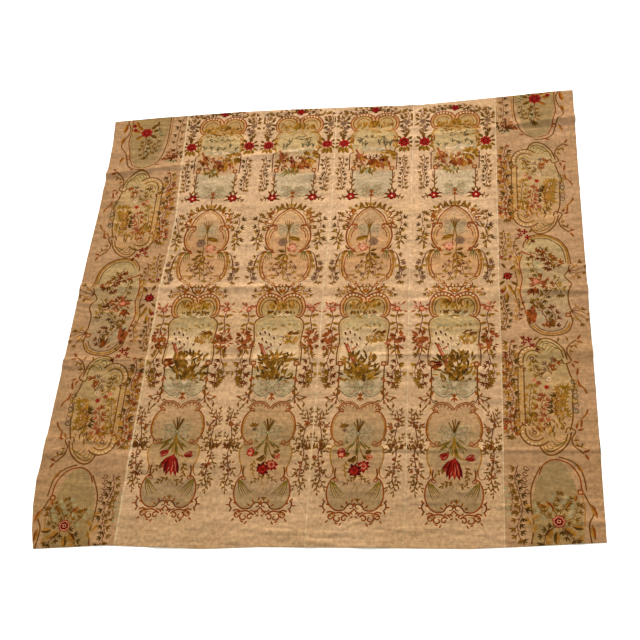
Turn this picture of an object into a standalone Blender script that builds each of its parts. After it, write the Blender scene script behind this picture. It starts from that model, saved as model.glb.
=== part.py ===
"""Needlepoint panel: six embroidered canvas strips sewn side by side into one hanging, laid flat, face up.

X runs across the strips, Y along them and Z up, in metres. The origin is the middle of the bounding box's
underside. The cloth lies on the surface and lifts off it only along its old fold lines and in two low swells.
"""

import math

import bmesh
import bpy

# Cloth
THICKNESS = 0.0026  # wool stitches on their canvas
SEAM_GAP = 0.0003  # clear space between neighbouring strips, so that each is its own solid

# The whole panel
HALF_WIDTH = 1.232
COLLECTION = "needlepoint_tapestry"

# How far along the panel its two cut ends are: (x, y). Both ends run aslant of the strips.
TOP_END = (
    (-1.232, 1.1565),
    (-0.984, 1.1775),
    (-0.542, 1.2045),
    (-0.214, 1.2135),
    (0.430, 1.2175),
    (0.641, 1.2385),
    (0.851, 1.2585),
    (1.059, 1.2785),
    (1.232, 1.2935),
)
BOTTOM_END = (
    (-1.232, -1.2935),
    (-1.175, -1.2935),
    (-0.860, -1.2700),
    (-0.440, -1.2755),
    (-0.189, -1.2605),
    (0.313, -1.2525),
    (0.682, -1.2475),
    (0.883, -1.2335),
    (1.232, -1.2065),
)

# The long edges and the seams between the strips, left to right: (y, x).
LEFT_EDGE = (
    (-1.2935, -1.175),
    (-1.208, -1.198),
    (-1.092, -1.218),
    (-0.973, -1.228),
    (-0.851, -1.224),
    (-0.596, -1.224),
    (0.258, -1.221),
    (0.514, -1.214),
    (0.850, -1.215),
    (1.000, -1.219),
    (1.1565, -1.232),
)
SEAM_1 = ((-1.30, -0.820), (-0.60, -0.819), (0.00, -0.818), (0.48, -0.797), (0.84, -0.814), (1.30, -0.828))
SEAM_2 = ((-1.30, -0.396), (-0.95, -0.403), (0.11, -0.408), (1.30, -0.402))
SEAM_3 = ((-1.30, 0.000), (-0.60, -0.005), (0.10, -0.008), (0.54, 0.000), (1.30, -0.013))
SEAM_4 = ((-1.30, 0.408), (-0.75, 0.411), (0.00, 0.402), (1.30, 0.397))
SEAM_5 = ((-1.30, 0.822), (-0.45, 0.826), (0.10, 0.823), (1.30, 0.824))
RIGHT_EDGE = ((-1.30, 1.230), (-0.50, 1.232), (0.25, 1.228), (0.80, 1.227), (1.30, 1.228))

# Old fold lines, top to bottom. "line" is (x, y) along the fold, "rise" is (x, height) along it and "reach" is
# how far the cloth stays lifted on either side.
FOLDS = (
    {
        "line": ((-1.232, 0.775), (1.232, 1.090)),
        "rise": ((-1.232, 0.010), (-0.5, 0.008), (0.0, 0.004), (0.6, 0.003), (0.85, 0.006), (1.05, 0.016), (1.232, 0.019)),
        "reach": 0.060,
    },
    {
        "line": ((-1.232, 0.062), (0.0, 0.054), (0.6, 0.014), (1.232, 0.042)),
        "rise": ((-1.232, 0.010), (-0.8, 0.007), (0.0, 0.006), (0.4, 0.005), (0.85, 0.006), (1.232, 0.013)),
        "reach": 0.055,
    },
    {
        "line": ((-1.232, -0.385), (-0.4, -0.382), (0.8, -0.312), (1.232, -0.308)),
        "rise": ((-1.232, 0.010), (-0.5, 0.006), (0.0, 0.003), (0.6, 0.004), (1.232, 0.009)),
        "reach": 0.060,
    },
    {
        "line": ((-1.232, -0.812), (-0.8, -0.888), (0.3, -0.840), (1.232, -0.792)),
        "rise": ((-1.232, 0.008), (-0.8, 0.007), (0.0, 0.006), (0.6, 0.004), (1.232, 0.006)),
        "reach": 0.085,
    },
)

# Low swells where the cloth has not settled: middle, half sizes along X and Y, and height.
SWELLS = (
    {"at": (1.04, 0.955), "half": (0.26, 0.10), "height": 0.006},
    {"at": (-1.02, -0.595), "half": (0.22, 0.15), "height": 0.006},
)

# The mesh: cells across a strip, rows between one fold and the next (bottom to top), and rows over a fold,
# as shares of its reach.
CELLS_ACROSS = 5
ROWS_BETWEEN = (6, 5, 5, 10, 4)
FOLD_ROWS = (-1.0, -0.62, -0.3, 0.0, 0.3, 0.62, 1.0)

# Each strip with its two long sides and its wool ground, in linear colour.
STRIPS = (
    {"name": "left_border", "sides": (LEFT_EDGE, SEAM_1), "ground": (0.50, 0.29, 0.13)},
    {"name": "first_strip", "sides": (SEAM_1, SEAM_2), "ground": (0.56, 0.34, 0.16)},
    {"name": "second_strip", "sides": (SEAM_2, SEAM_3), "ground": (0.58, 0.35, 0.17)},
    {"name": "third_strip", "sides": (SEAM_3, SEAM_4), "ground": (0.58, 0.35, 0.17)},
    {"name": "fourth_strip", "sides": (SEAM_4, SEAM_5), "ground": (0.56, 0.34, 0.16)},
    {"name": "right_border", "sides": (SEAM_5, RIGHT_EDGE), "ground": (0.50, 0.29, 0.13)},
)
WOOL_ROUGHNESS = 0.9


def along(table, at):
    """The second column of a table read at this value of its first, on a smooth line through the rows."""
    if at <= table[0][0]:
        return table[0][1]
    for (before, low), (after, high) in zip(table, table[1:]):
        if at <= after:
            share = (at - before) / (after - before)
            return low + (high - low) * share * share * (3 - 2 * share)
    return table[-1][1]


def straight(table, at):
    """As along(), but on straight lines from row to row."""
    if at <= table[0][0]:
        return table[0][1]
    for (before, low), (after, high) in zip(table, table[1:]):
        if at <= after:
            return low + (high - low) * (at - before) / (after - before)
    return table[-1][1]


def bump(distance):
    """A soft hump: 1 at no distance, and level with the ground from distance 1 on."""
    if abs(distance) >= 1:
        return 0.0
    return math.cos(0.5 * math.pi * distance) ** 2


def lift(x, y):
    """How far the cloth's underside is off the surface here."""
    height = 0.0
    for fold in FOLDS:
        away = (y - straight(fold["line"], x)) / fold["reach"]
        height += along(fold["rise"], x) * bump(away)
    for swell in SWELLS:
        across = (x - swell["at"][0]) / swell["half"][0]
        down = (y - swell["at"][1]) / swell["half"][1]
        height += swell["height"] * bump(math.hypot(across, down))
    return height


def row_places(x):
    """The y of every mesh row at this x, bottom to top: close together over the folds, and even between them."""
    places = [straight(BOTTOM_END, x)]
    folds = list(reversed(FOLDS))
    for count, fold in zip(ROWS_BETWEEN, folds):
        line = straight(fold["line"], x)
        near = line + FOLD_ROWS[0] * fold["reach"]
        start = places[-1]
        places += [start + (near - start) * step / count for step in range(1, count)]
        places += [line + share * fold["reach"] for share in FOLD_ROWS]
    start = places[-1]
    end = straight(TOP_END, x)
    places += [start + (end - start) * step / ROWS_BETWEEN[-1] for step in range(1, ROWS_BETWEEN[-1] + 1)]
    return places


def side_at(side, y, inward):
    """Where a strip's long side is at this y. A seam keeps half the gap on each side of it."""
    x = straight(side, y)
    if side in (LEFT_EDGE, RIGHT_EDGE):
        return x
    return x + inward * SEAM_GAP / 2


def place(strip, column, row):
    """The x and y of one grid point of a strip."""
    left, right = strip["sides"]
    share = column / CELLS_ACROSS
    x = 0.5 * (straight(left, 0) + straight(right, 0))
    y = 0.0
    for _ in range(6):
        y = row_places(x)[row]
        x = side_at(left, y, 1) * (1 - share) + side_at(right, y, -1) * share
    return x, y


def wool(name, ground):
    material = bpy.data.materials.new(name + "_wool")
    material.use_nodes = True
    shader = material.node_tree.nodes["Principled BSDF"]
    shader.inputs["Base Color"].default_value = (*ground, 1.0)
    shader.inputs["Roughness"].default_value = WOOL_ROUGHNESS
    return material


def strip_mesh(strip):
    """A flat grid cut to the strip's outline, thickened straight up and then lifted over the folds."""
    rows = len(row_places(0.0)) - 1
    shape = bmesh.new()
    bmesh.ops.create_grid(shape, x_segments=CELLS_ACROSS, y_segments=rows, size=1.0)
    for vertex in shape.verts:
        column = round((vertex.co.x + 1) / 2 * CELLS_ACROSS)
        row = round((vertex.co.y + 1) / 2 * rows)
        vertex.co.x, vertex.co.y = place(strip, column, row)
        vertex.co.z = 0.0
    made = bmesh.ops.extrude_face_region(shape, geom=shape.faces[:], use_keep_orig=True)
    upper = [item for item in made["geom"] if isinstance(item, bmesh.types.BMVert)]
    bmesh.ops.translate(shape, verts=upper, vec=(0.0, 0.0, THICKNESS))
    for vertex in shape.verts:
        vertex.co.z += lift(vertex.co.x, vertex.co.y)
    bmesh.ops.recalc_face_normals(shape, faces=shape.faces[:])
    mesh = bpy.data.meshes.new(strip["name"])
    shape.to_mesh(mesh)
    shape.free()
    return mesh


def clear():
    for old in list(bpy.data.objects):
        bpy.data.objects.remove(old)


def main():
    clear()
    collection = bpy.data.collections.new(COLLECTION)
    bpy.context.scene.collection.children.link(collection)
    for strip in STRIPS:
        mesh = strip_mesh(strip)
        mesh.materials.append(wool(strip["name"], strip["ground"]))
        collection.objects.link(bpy.data.objects.new(strip["name"], mesh))


main()
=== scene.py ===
"""Needlepoint hanging of six sewn strips, laid flat and face up on a pale floor.

It is laid out as an add-on and run as a script. Each strip becomes a thin sheet that follows the folds of its
solid, with its motifs inlaid as closed shapes, each in its own wool.
"""

import math
import random
from contextlib import contextmanager

import bpy
import numpy as np
from mathutils import Matrix, Vector
from mathutils.geometry import delaunay_2d_cdt


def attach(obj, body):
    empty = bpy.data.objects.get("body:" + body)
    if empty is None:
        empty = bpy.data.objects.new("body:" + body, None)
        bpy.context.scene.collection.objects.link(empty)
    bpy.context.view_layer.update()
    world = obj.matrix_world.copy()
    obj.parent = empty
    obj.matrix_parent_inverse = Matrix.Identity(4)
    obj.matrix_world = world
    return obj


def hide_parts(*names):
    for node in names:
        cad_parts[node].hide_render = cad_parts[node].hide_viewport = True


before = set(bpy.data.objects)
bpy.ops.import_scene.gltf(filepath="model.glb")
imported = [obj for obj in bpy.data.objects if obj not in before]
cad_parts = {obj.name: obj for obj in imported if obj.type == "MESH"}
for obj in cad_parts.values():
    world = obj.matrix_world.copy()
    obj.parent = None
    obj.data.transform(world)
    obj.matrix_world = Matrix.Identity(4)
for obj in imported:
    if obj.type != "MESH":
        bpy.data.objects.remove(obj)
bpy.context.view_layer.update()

bl_info = {
    "name": "Needlepoint hanging", "version": (1, 0, 0), "blender": (4, 5, 0),
    "location": "3D View > Sidebar > Needlepoint",
    "description": "Strips of embroidered cloth, sewn side by side and laid flat",
    "category": "Add Mesh"
}

MM = 0.001

# --- The cloth, in metres: x across the strips and y along them ---

# How far along the two cut ends are: (x, y).
TOP_END = (
    (-1.232, 1.1565), (-0.984, 1.1775), (-0.542, 1.2045), (-0.214, 1.2135), (0.430, 1.2175), (0.641, 1.2385),
    (0.851, 1.2585), (1.059, 1.2785), (1.232, 1.2935)
)
BOTTOM_END = (
    (-1.232, -1.2935), (-1.175, -1.2935), (-0.860, -1.2700), (-0.440, -1.2755), (-0.189, -1.2605),
    (0.313, -1.2525), (0.682, -1.2475), (0.883, -1.2335), (1.232, -1.2065)
)

# The long edges and the seams, left to right: (y, x).
LEFT_EDGE = (
    (-1.2935, -1.175), (-1.208, -1.198), (-1.092, -1.218), (-0.973, -1.228), (-0.851, -1.224),
    (-0.596, -1.224), (0.258, -1.221), (0.514, -1.214), (0.850, -1.215), (1.000, -1.219), (1.1565, -1.232)
)
SEAM_1 = ((-1.30, -0.820), (-0.60, -0.819), (0.00, -0.818), (0.48, -0.797), (0.84, -0.814), (1.30, -0.828))
SEAM_2 = ((-1.30, -0.396), (-0.95, -0.403), (0.11, -0.408), (1.30, -0.402))
SEAM_3 = ((-1.30, 0.000), (-0.60, -0.005), (0.10, -0.008), (0.54, 0.000), (1.30, -0.013))
SEAM_4 = ((-1.30, 0.408), (-0.75, 0.411), (0.00, 0.402), (1.30, 0.397))
SEAM_5 = ((-1.30, 0.822), (-0.45, 0.826), (0.10, 0.823), (1.30, 0.824))
RIGHT_EDGE = ((-1.30, 1.230), (-0.50, 1.232), (0.25, 1.228), (0.80, 1.227), (1.30, 1.228))
SEAM_GAP = 0.0003
# How wide the bare canvas shows to each side of a seam, in millimetres.
SEAM_CANVAS = {SEAM_1: 3.6, SEAM_3: 2.2, SEAM_4: 1.4, SEAM_5: 1.9}


def fold(line, rise, above, below):
    """A raised fold. line is (x, y) along it, and rise is (x, height) along it.

    The cloth slopes over the distance above on the side of the upper end, and over below on the other.
    """
    return {"line": line, "rise": rise, "above": above, "below": below}


# The old folds.
FOLDS = (
    fold(
        ((-1.232, 0.775), (1.232, 1.090)),
        (
            (-1.232, 0.010), (-0.5, 0.008), (0.0, 0.004), (0.6, 0.003), (0.85, 0.006), (1.05, 0.016),
            (1.232, 0.019)
        ),
        0.060, 0.034
    ),
    fold(
        ((-1.232, 0.062), (0.0, 0.054), (0.6, 0.014), (1.232, 0.042)),
        ((-1.232, 0.010), (-0.8, 0.007), (0.0, 0.006), (0.4, 0.005), (0.85, 0.006), (1.232, 0.013)),
        0.030, 0.055
    ),
    fold(
        ((-1.232, -0.385), (-0.4, -0.382), (0.8, -0.312), (1.232, -0.308)),
        ((-1.232, 0.010), (-0.5, 0.006), (0.0, 0.003), (0.6, 0.004), (1.232, 0.009)),
        0.060, 0.040
    ),
    fold(
        ((-1.232, -0.812), (-0.8, -0.888), (0.3, -0.840), (1.232, -0.792)),
        ((-1.232, 0.008), (-0.8, 0.007), (0.0, 0.006), (0.6, 0.004), (1.232, 0.006)),
        0.085, 0.085
    )
)
SWELLS = (
    {"at": (1.04, 0.955), "half": (0.26, 0.10), "height": 0.006},
    {"at": (-1.02, -0.595), "half": (0.22, 0.15), "height": 0.006}
)

# Sharp creases, most of them along the crests of the folds.
CREASES = (
    fold(
        ((-1.232, 0.775), (1.232, 1.090)),
        ((-1.232, 0.0045), (-0.3, 0.004), (0.1, 0.003), (1.232, 0.005)),
        0.022, 0.013
    ),
    fold(((0.4, 0.985), (1.232, 1.030)), ((0.4, 0.0), (0.6, 0.004), (1.232, 0.004)), 0.012, 0.022),
    fold(
        ((-0.9, 0.052), (0.0, 0.050)),
        ((-0.9, 0.0), (-0.7, 0.004), (-0.2, 0.0045), (0.0, 0.0)),
        0.016, 0.03
    ),
    fold(
        ((-0.1, -0.050), (0.5, -0.036), (0.9, -0.010)),
        ((-0.1, 0.0), (0.1, 0.006), (0.7, 0.006), (0.9, 0.0)),
        0.024, 0.04
    ),
    fold(((0.0, -0.184), (0.85, -0.190)), ((0.0, 0.0), (0.2, 0.004), (0.7, 0.004), (0.85, 0.0)), 0.016, 0.02),
    fold(
        ((-1.232, -0.362), (-0.4, -0.352), (0.1, -0.336)),
        ((-1.232, 0.004), (-0.9, 0.006), (-0.2, 0.006), (0.1, 0.0)),
        0.026, 0.016
    ),
    fold(((0.1, -0.326), (0.8, -0.330)), ((0.1, 0.0), (0.3, 0.005), (0.7, 0.004), (0.8, 0.0)), 0.016, 0.014),
    fold(((-1.232, -0.770), (-0.7, -0.800)), ((-1.232, 0.004), (-0.9, 0.004), (-0.7, 0.0)), 0.02, 0.02),
    fold(
        ((-0.1, -0.812), (1.232, -0.800)),
        ((-0.1, 0.0), (0.1, 0.005), (0.8, 0.005), (1.232, 0.004)),
        0.02, 0.016
    ),
    fold(((-0.25, 0.742), (0.02, 0.752)), ((-0.25, 0.0), (-0.12, 0.004), (0.02, 0.0)), 0.014, 0.016),
    fold(
        ((-0.35, -1.186), (0.1, -1.196), (0.5, -1.176)),
        ((-0.35, 0.0), (0.0, 0.004), (0.5, 0.0)), 0.018, 0.022
    ),
    fold(((0.7, -1.150), (1.232, -1.120)), ((0.7, 0.0), (0.95, 0.004), (1.232, 0.004)), 0.018, 0.022),
    fold(((0.82, 0.150), (1.232, 0.162)), ((0.82, 0.0), (0.9, 0.004), (1.232, 0.004)), 0.014, 0.03),
    fold(((0.86, 0.026), (1.232, 0.012)), ((0.86, 0.0), (1.0, 0.005), (1.232, 0.005)), 0.016, 0.018),
    fold(((-1.232, 0.250), (-0.9, 0.330)), ((-1.232, 0.0), (-1.0, 0.004), (-0.9, 0.0)), 0.02, 0.02),
    fold(((-1.232, -0.030), (-0.95, -0.050)), ((-1.232, 0.005), (-1.05, 0.004), (-0.95, 0.0)), 0.02, 0.024)
)

# Each strip: its CAD node, its long sides, the x of its motifs' centre line and the seeds of its small
# differences.
STRIPS = (
    {"node": "left_border", "sides": (LEFT_EDGE, SEAM_1), "middle": -1.022, "seed": 11},
    {"node": "first_strip", "sides": (SEAM_1, SEAM_2), "middle": -0.613, "seed": 12},
    {"node": "second_strip", "sides": (SEAM_2, SEAM_3), "middle": -0.206, "seed": 13},
    {"node": "third_strip", "sides": (SEAM_3, SEAM_4), "middle": 0.200, "seed": 14},
    {"node": "fourth_strip", "sides": (SEAM_4, SEAM_5), "middle": 0.613, "seed": 15},
    {"node": "right_border", "sides": (SEAM_5, RIGHT_EDGE), "middle": 1.026, "seed": 16}
)


def read_table(table, at, eased=False):
    """The second column of a table at these values of its first, on straight or eased lines between rows."""
    first, second = (np.array(column) for column in zip(*table))
    if not eased:
        return np.interp(at, first, second)
    at = np.clip(at, first[0], first[-1])
    row = np.clip(np.searchsorted(first, at) - 1, 0, len(first) - 2)
    share = (at - first[row]) / (first[row + 1] - first[row])
    return second[row] + (second[row + 1] - second[row]) * share * share * (3 - 2 * share)


def hump(distance):
    """1 at no distance, and 0 from distance 1 on."""
    return np.cos(0.5 * np.pi * np.clip(np.abs(distance), 0, 1)) ** 2


def fold_lift(x, y):
    """How far the folds and swells raise the cloth's underside."""
    height = np.zeros_like(x)
    for fold in (*FOLDS, *CREASES):
        away = y - read_table(fold["line"], x)
        reach = np.where(away > 0, fold["above"], fold["below"])
        inside = (x >= fold["line"][0][0]) & (x <= fold["line"][-1][0])
        height += inside * read_table(fold["rise"], x, eased=True) * hump(away / reach)
    for swell in SWELLS:
        across = (x - swell["at"][0]) / swell["half"][0]
        down = (y - swell["at"][1]) / swell["half"][1]
        height += swell["height"] * hump(np.hypot(across, down))
    return height


def ripples(seed=5, count=30, low=0.035, high=0.15):
    """Small waves in the cloth, most of them across it: rows of wave vector x and y, phase and share."""
    chance = random.Random(seed)
    waves = []
    for _ in range(count):
        length = chance.uniform(low, high)
        turn = math.radians(90 + chance.gauss(0, 22))
        waves.append(
            (
                2 * math.pi / length * math.cos(turn), 2 * math.pi / length * math.sin(turn),
                chance.uniform(0, 2 * math.pi), chance.uniform(0.4, 1.0)
            )
        )
    return np.array(waves)


RIPPLES = ripples()
PATCHES = ripples(seed=9, count=8, low=0.5, high=1.3)
# A ripple lifts the cloth only where its waves pass this height.
RIPPLE_START = 0.25


def waves_at(waves, x, y):
    """The sum of the waves, with a spread of about 1."""
    total = np.zeros_like(x)
    for across, along, phase, share in waves:
        total += share * np.sin(across * x + along * y + phase)
    return total / math.sqrt(0.5 * float(np.sum(waves[:, 3] ** 2)))


def underside(x, y, ripple):
    """The height of the cloth's underside. Ripples come in patches and leave the rest on the floor."""
    calm = 0.5 + 0.5 * np.tanh(waves_at(PATCHES, x, y))
    return fold_lift(x, y) + ripple * calm * np.maximum(waves_at(RIPPLES, x, y) - RIPPLE_START, 0)


def ease_down(distance, reach):
    """1 at an edge and 0 from this far inside it."""
    return 1 - np.clip(distance / reach, 0, 1) ** 0.5


# --- Wools ---

# The dyed wools by name, in sRGB.
WOOLS = {
    "ground": ("9C7C59", "plain ground of the middle strips"),
    "border_ground": ("8C6A48", "plain ground of the borders"),
    "sand": ("906F4B", "ground inside the lowest cartouches"),
    "dun": ("7A613E", "darker cartouche ground"), "moor": ("7B6039", "darkest cartouche ground"),
    "fawn": ("906A44", "warm grey cartouche ground"),
    "honey": ("846639", "lobes of the crests"),
    "stone": ("907A5A", "pale grey cartouche ground"),
    "sage": ("8C734A", "pale grey-green ground"),
    "grey_sage": ("86694A", "darker grey-green ground"),
    "mist": ("7C6E4C", "ribbon bows"),
    "slate": ("463A22", "edges of the bows and grey sprigs"),
    "ivory": ("A68864", "pearls and pale blossoms"),
    "canvas": ("A88E6A", "bare canvas at the seams"),
    "russet": ("662E08", "outlines"), "brown": ("4A2006", "dark outlines and stems"),
    "bronze": ("56320C", "panel outlines"), "gold": ("7A5018", "scroll bands"),
    "ochre": ("8A6638", "light scroll bands"), "olive": ("563608", "leaves"),
    "bark": ("3C2608", "darkest leaves"), "moss": ("6C4A0E", "light leaves"),
    "leaf_green": ("4A4014", "plumes and long leaves"),
    "crimson": ("5E0A05", "roses and tulips"), "scarlet": ("7C1A0E", "bright petals"),
    "coral": ("70361A", "orange-red blossoms"), "blush": ("9C5E42", "pink petals"),
    "wine": ("380604", "shadows of the red flowers"),
    "mauve": ("60442E", "small grey-pink flowers")
}


def linear(code):
    """An sRGB hex colour as linear red, green and blue."""
    values = (int(code[at : at + 2], 16) / 255 for at in (0, 2, 4))
    return tuple(v / 12.92 if v <= 0.04045 else ((v + 0.055) / 1.055) ** 2.4 for v in values)


# --- Stitching shapes ---


def smooth(points, step, closed=False):
    """A rounded line through these points, with a point about every step millimetres."""
    points = np.asarray(points, float)
    count = len(points)
    if count < 3 and not closed:
        return points
    found = []
    for index in range(count if closed else count - 1):
        if closed:
            a, b, c, d = (points[(index + shift) % count] for shift in (-1, 0, 1, 2))
        else:
            a, b, c, d = (points[min(max(index + shift, 0), count - 1)] for shift in (-1, 0, 1, 2))
        pieces = max(2, round(float(np.hypot(*(c - b))) / step))
        for t in np.arange(pieces) / pieces:
            found.append(
                0.5 * (
                    2 * b + (c - a) * t + (2 * a - 5 * b + 4 * c - d) * t * t + (3 * b - a - 3 * c + d) * t**3
                )
            )
    if not closed:
        found.append(points[-1])
    return np.array(found)


def sideways(points, closed=False):
    """The unit vectors square to a line at each of its points."""
    if closed:
        ahead = np.roll(points, -1, axis=0) - np.roll(points, 1, axis=0)
    else:
        ahead = np.gradient(points, axis=0)
    ahead /= np.maximum(np.hypot(ahead[:, 0], ahead[:, 1]), 1e-9)[:, None]
    return np.stack([-ahead[:, 1], ahead[:, 0]], axis=1)


def shifted(points, distance):
    """The line moved this far to its left."""
    return points + sideways(points) * distance


# The smallest shape kept, in square millimetres.
SLIVER = 0.02


class Needlework:
    """What is stitched on one strip: closed shapes in painter's order, each in a wool.

    Shapes are given in millimetres: u across from the strip's centre line, v along from the cloth's middle.
    """

    def __init__(self, middle, wools, seed):
        self.wools = wools
        self.chance = random.Random(seed)
        self.placing = np.array([[MM, 0.0, middle], [0.0, MM, 0.0]])
        self.outlines = []
        self.shape_of = []
        self.tones = []

    @contextmanager
    def at(self, u, v, turn=0.0, size=1.0, flip=1):
        """Shapes stitched inside are moved to (u, v), turned, sized and, with flip -1, mirrored."""
        kept = self.placing
        angle = math.radians(turn)
        along, across = math.cos(angle) * size, math.sin(angle) * size
        self.placing = kept @ np.array([[along * flip, -across, u], [across * flip, along, v], [0, 0, 1]])
        yield
        self.placing = kept

    def both_sides(self):
        """Runs a loop's body twice, the second time mirrored left to right."""
        for flip in (1, -1):
            with self.at(0, 0, flip=flip):
                yield

    def placed(self, points):
        """These points in metres, where the cloth has them."""
        points = np.asarray(points, float)
        return points @ self.placing[:, :2].T + self.placing[:, 2]

    def tone(self, wool, spread):
        """A wool's colour, with the small difference that one dye lot has from the next."""
        share = 1 + self.chance.uniform(-spread, spread)
        return np.array(self.wools[wool]) * share

    def new_shape(self, wool, fade=None, spread=0.07):
        """Starts a shape. fade is (second wool, point where it starts, point where it is full)."""
        first = self.tone(wool, spread)
        if fade is None:
            self.tones.append((first, first, np.zeros(2), np.zeros(2)))
        else:
            start, end = self.placed([fade[1], fade[2]])
            along = (end - start) / np.dot(end - start, end - start)
            self.tones.append((first, self.tone(fade[0], spread), start, along))
        return len(self.tones) - 1

    def add_outline(self, points, shape):
        """One closed outline of a shape, run anticlockwise. Slivers are left out."""
        x, y = points[:, 0], points[:, 1]
        area = 0.5 * float(np.dot(x, np.roll(y, -1)) - np.dot(y, np.roll(x, -1)))
        if abs(area) < SLIVER * MM * MM:
            return
        self.outlines.append(points if area > 0 else points[::-1])
        self.shape_of.append(shape)

    def patch(self, points, wool, fade=None, rounded=True, spread=0.07, step=8.0):
        """A filled shape."""
        points = smooth(points, step, closed=True) if rounded else np.asarray(points, float)
        self.add_outline(self.placed(points), self.new_shape(wool, fade, spread))

    def line(self, wool, width, *points, taper=1.0, closed=False, step=10.0, rounded=True):
        """A line of stitches. taper is the width at its end as a share of that at its start."""
        points = smooth(points, step, closed) if rounded else np.asarray(points, float)
        shape = self.new_shape(wool)
        count = len(points)
        widths = LINE_GAIN * width * (1 + (taper - 1) * np.arange(count) / max(count - 1, 1))
        side = sideways(points, closed) * widths[:, None] / 2
        left, right = self.placed(points + side), self.placed(points - side)
        for index in range(count if closed else count - 1):
            after = (index + 1) % count
            self.add_outline(np.array([left[index], right[index], right[after], left[after]]), shape)


# --- Motifs ---

# How much wider than its given width a line is, and how much longer and fuller a leaf.
LINE_GAIN = 1.35
LEAF_GAIN = (1.12, 1.1)
# Half of a leaf's outline: how far along it, and how far out as a share of its width.
LEAF_SHAPE = ((0, 0.06), (0.32, 0.5), (0.7, 0.42), (1, 0))


def leaf(work, u, v, turn, length, wool, width=0.4, shade=None):
    """A pointed leaf from its stalk. With a shade, half of it is in that second wool."""
    length *= LEAF_GAIN[0]
    upper = np.array([(a * length, b * length * width * LEAF_GAIN[1]) for a, b in LEAF_SHAPE])
    lower = upper[::-1] * (1, -1)
    with work.at(u, v, turn):
        work.patch(np.concatenate([upper, lower[1:]]), wool, rounded=False, spread=0.14)
        if shade:
            work.patch(np.concatenate([lower, [(0, 0)]]), shade, rounded=False, spread=0.1)


def polar(far, turn, u=0, v=0):
    """The place this far from (u, v), in the direction of turn."""
    angle = math.radians(turn)
    return u + far * math.cos(angle), v + far * math.sin(angle)


def leaves(work, wool, width, *rows, shade=None, length=None):
    """Leaves, each a row of the place of its stalk, its direction and, without a common length, its own."""
    for u, v, turn, *own in rows:
        leaf(work, u, v, turn, length or own[0], wool, width, shade)


def lines(work, *rows):
    """Lines, each a row of its wool, its width and its points."""
    for row in rows:
        work.line(*row)


def heap(work, u, v, across, along, count, wools, length, turn, width):
    """Leaves strewn over an oval. They point about the way of turn or, without one, away from its middle."""
    for index in range(count):
        angle = work.chance.uniform(0, 360)
        far = math.sqrt(work.chance.uniform(0, 1))
        place = (
            u + across * far * math.cos(math.radians(angle)),
            v + along * far * math.sin(math.radians(angle))
        )
        direction = (angle if turn is None else turn) + work.chance.uniform(-38, 38)
        leaf(
            work, *place, direction, length * work.chance.uniform(0.7, 1.1), wools[index % len(wools)], width
        )


def petal(work, u, v, turn, length, width, wool):
    """A round-ended petal from its base."""
    outline = [(0, 0), (0.45, 0.42), (0.8, 0.5), (1, 0.22), (1, -0.22), (0.8, -0.5), (0.45, -0.42)]
    with work.at(u, v, turn):
        work.patch([(a * length, b * width) for a, b in outline], wool, rounded=False, spread=0.1)


def stations(points, spacing):
    """Places along a line, from half a spacing on: (u, v, direction in degrees, share of its length)."""
    points = smooth(points, 3)
    steps = np.hypot(*np.diff(points, axis=0).T)
    run = np.concatenate([[0], np.cumsum(steps)])
    places = []
    for far in np.arange(0.5 * spacing, run[-1], spacing):
        index = min(int(np.searchsorted(run, far)), len(points) - 1)
        ahead = points[index] - points[index - 1]
        place = points[index - 1] + ahead * (far - run[index - 1]) / max(steps[index - 1], 1e-9)
        places.append((place[0], place[1], math.degrees(math.atan2(ahead[1], ahead[0])), far / run[-1]))
    return places


def sprig(work, points, length, spacing, wool, stem, spread=42, thin=2.6, width=0.38):
    """A stem with leaves set to its two sides by turns, and one at its tip."""
    work.line(stem, thin, *points, taper=0.7)
    side = 1
    for u, v, direction, share in stations(points, spacing):
        size = length * (1 - 0.3 * share) * work.chance.uniform(0.85, 1.15)
        leaf(work, u, v, direction + side * (spread + work.chance.uniform(-9, 9)), size, wool, width)
        side = -side
    (u0, v0), (u1, v1) = points[-2], points[-1]
    leaf(work, u1, v1, math.degrees(math.atan2(v1 - v0, u1 - u0)), length * 0.8, wool, width)


def tuft(work, u, v, turn, reach, count, spread, wool, width):
    """Leaves that fan out from one point."""
    for index in range(count):
        angle = turn + spread * (index - (count - 1) / 2)
        leaf(work, u, v, angle, reach * work.chance.uniform(0.85, 1.1), wool, width)


def bushy(work, points, reach, spacing, wools, stem="brown"):
    """A branch whose short side twigs each end in a few narrow leaves."""
    work.line(stem, 2.8, *points, taper=0.7)
    side = 1
    for index, (u, v, direction, _) in enumerate(stations(points, spacing)):
        turn = direction + side * work.chance.uniform(38, 66)
        far = 0.45 * reach * work.chance.uniform(0.8, 1.2)
        end = polar(far, turn, u, v)
        work.line(stem, 2.2, (u, v), end, rounded=False)
        tuft(work, *end, turn, reach * 0.72, 3, 40, wools[index % len(wools)], width=0.3)
        side = -side
    (u0, v0), (u1, v1) = points[-2], points[-1]
    tuft(work, u1, v1, math.degrees(math.atan2(v1 - v0, u1 - u0)), reach * 0.7, 3, 34, wools[0], width=0.3)


def blossom(work, u, v, radius, wool, heart, petals=5, edge=None):
    """A small open flower with round petals and a heart."""
    first = work.chance.uniform(0, 360)
    if edge:
        for index in range(petals):
            petal(work, u, v, first + 360 * index / petals, radius * 1.14, radius, edge)
    for index in range(petals):
        petal(work, u, v, first + 360 * index / petals, radius, radius * 0.78, wool)
    work.patch(ring(u, v, radius * 0.25, 7), heart, rounded=False)


def ring(u, v, radius, count=10):
    """Points round a circle."""
    return [polar(radius, 360 * index / count, u, v) for index in range(count)]


def scalloped(radius, lobes, depth, turn=0):
    """A round outline with rounded lobes."""
    dips = (1, 0.25, 0, 0.25) * lobes
    return [polar(radius * (1 - depth * dip), turn + 90 * index / lobes) for index, dip in enumerate(dips)]


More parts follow.
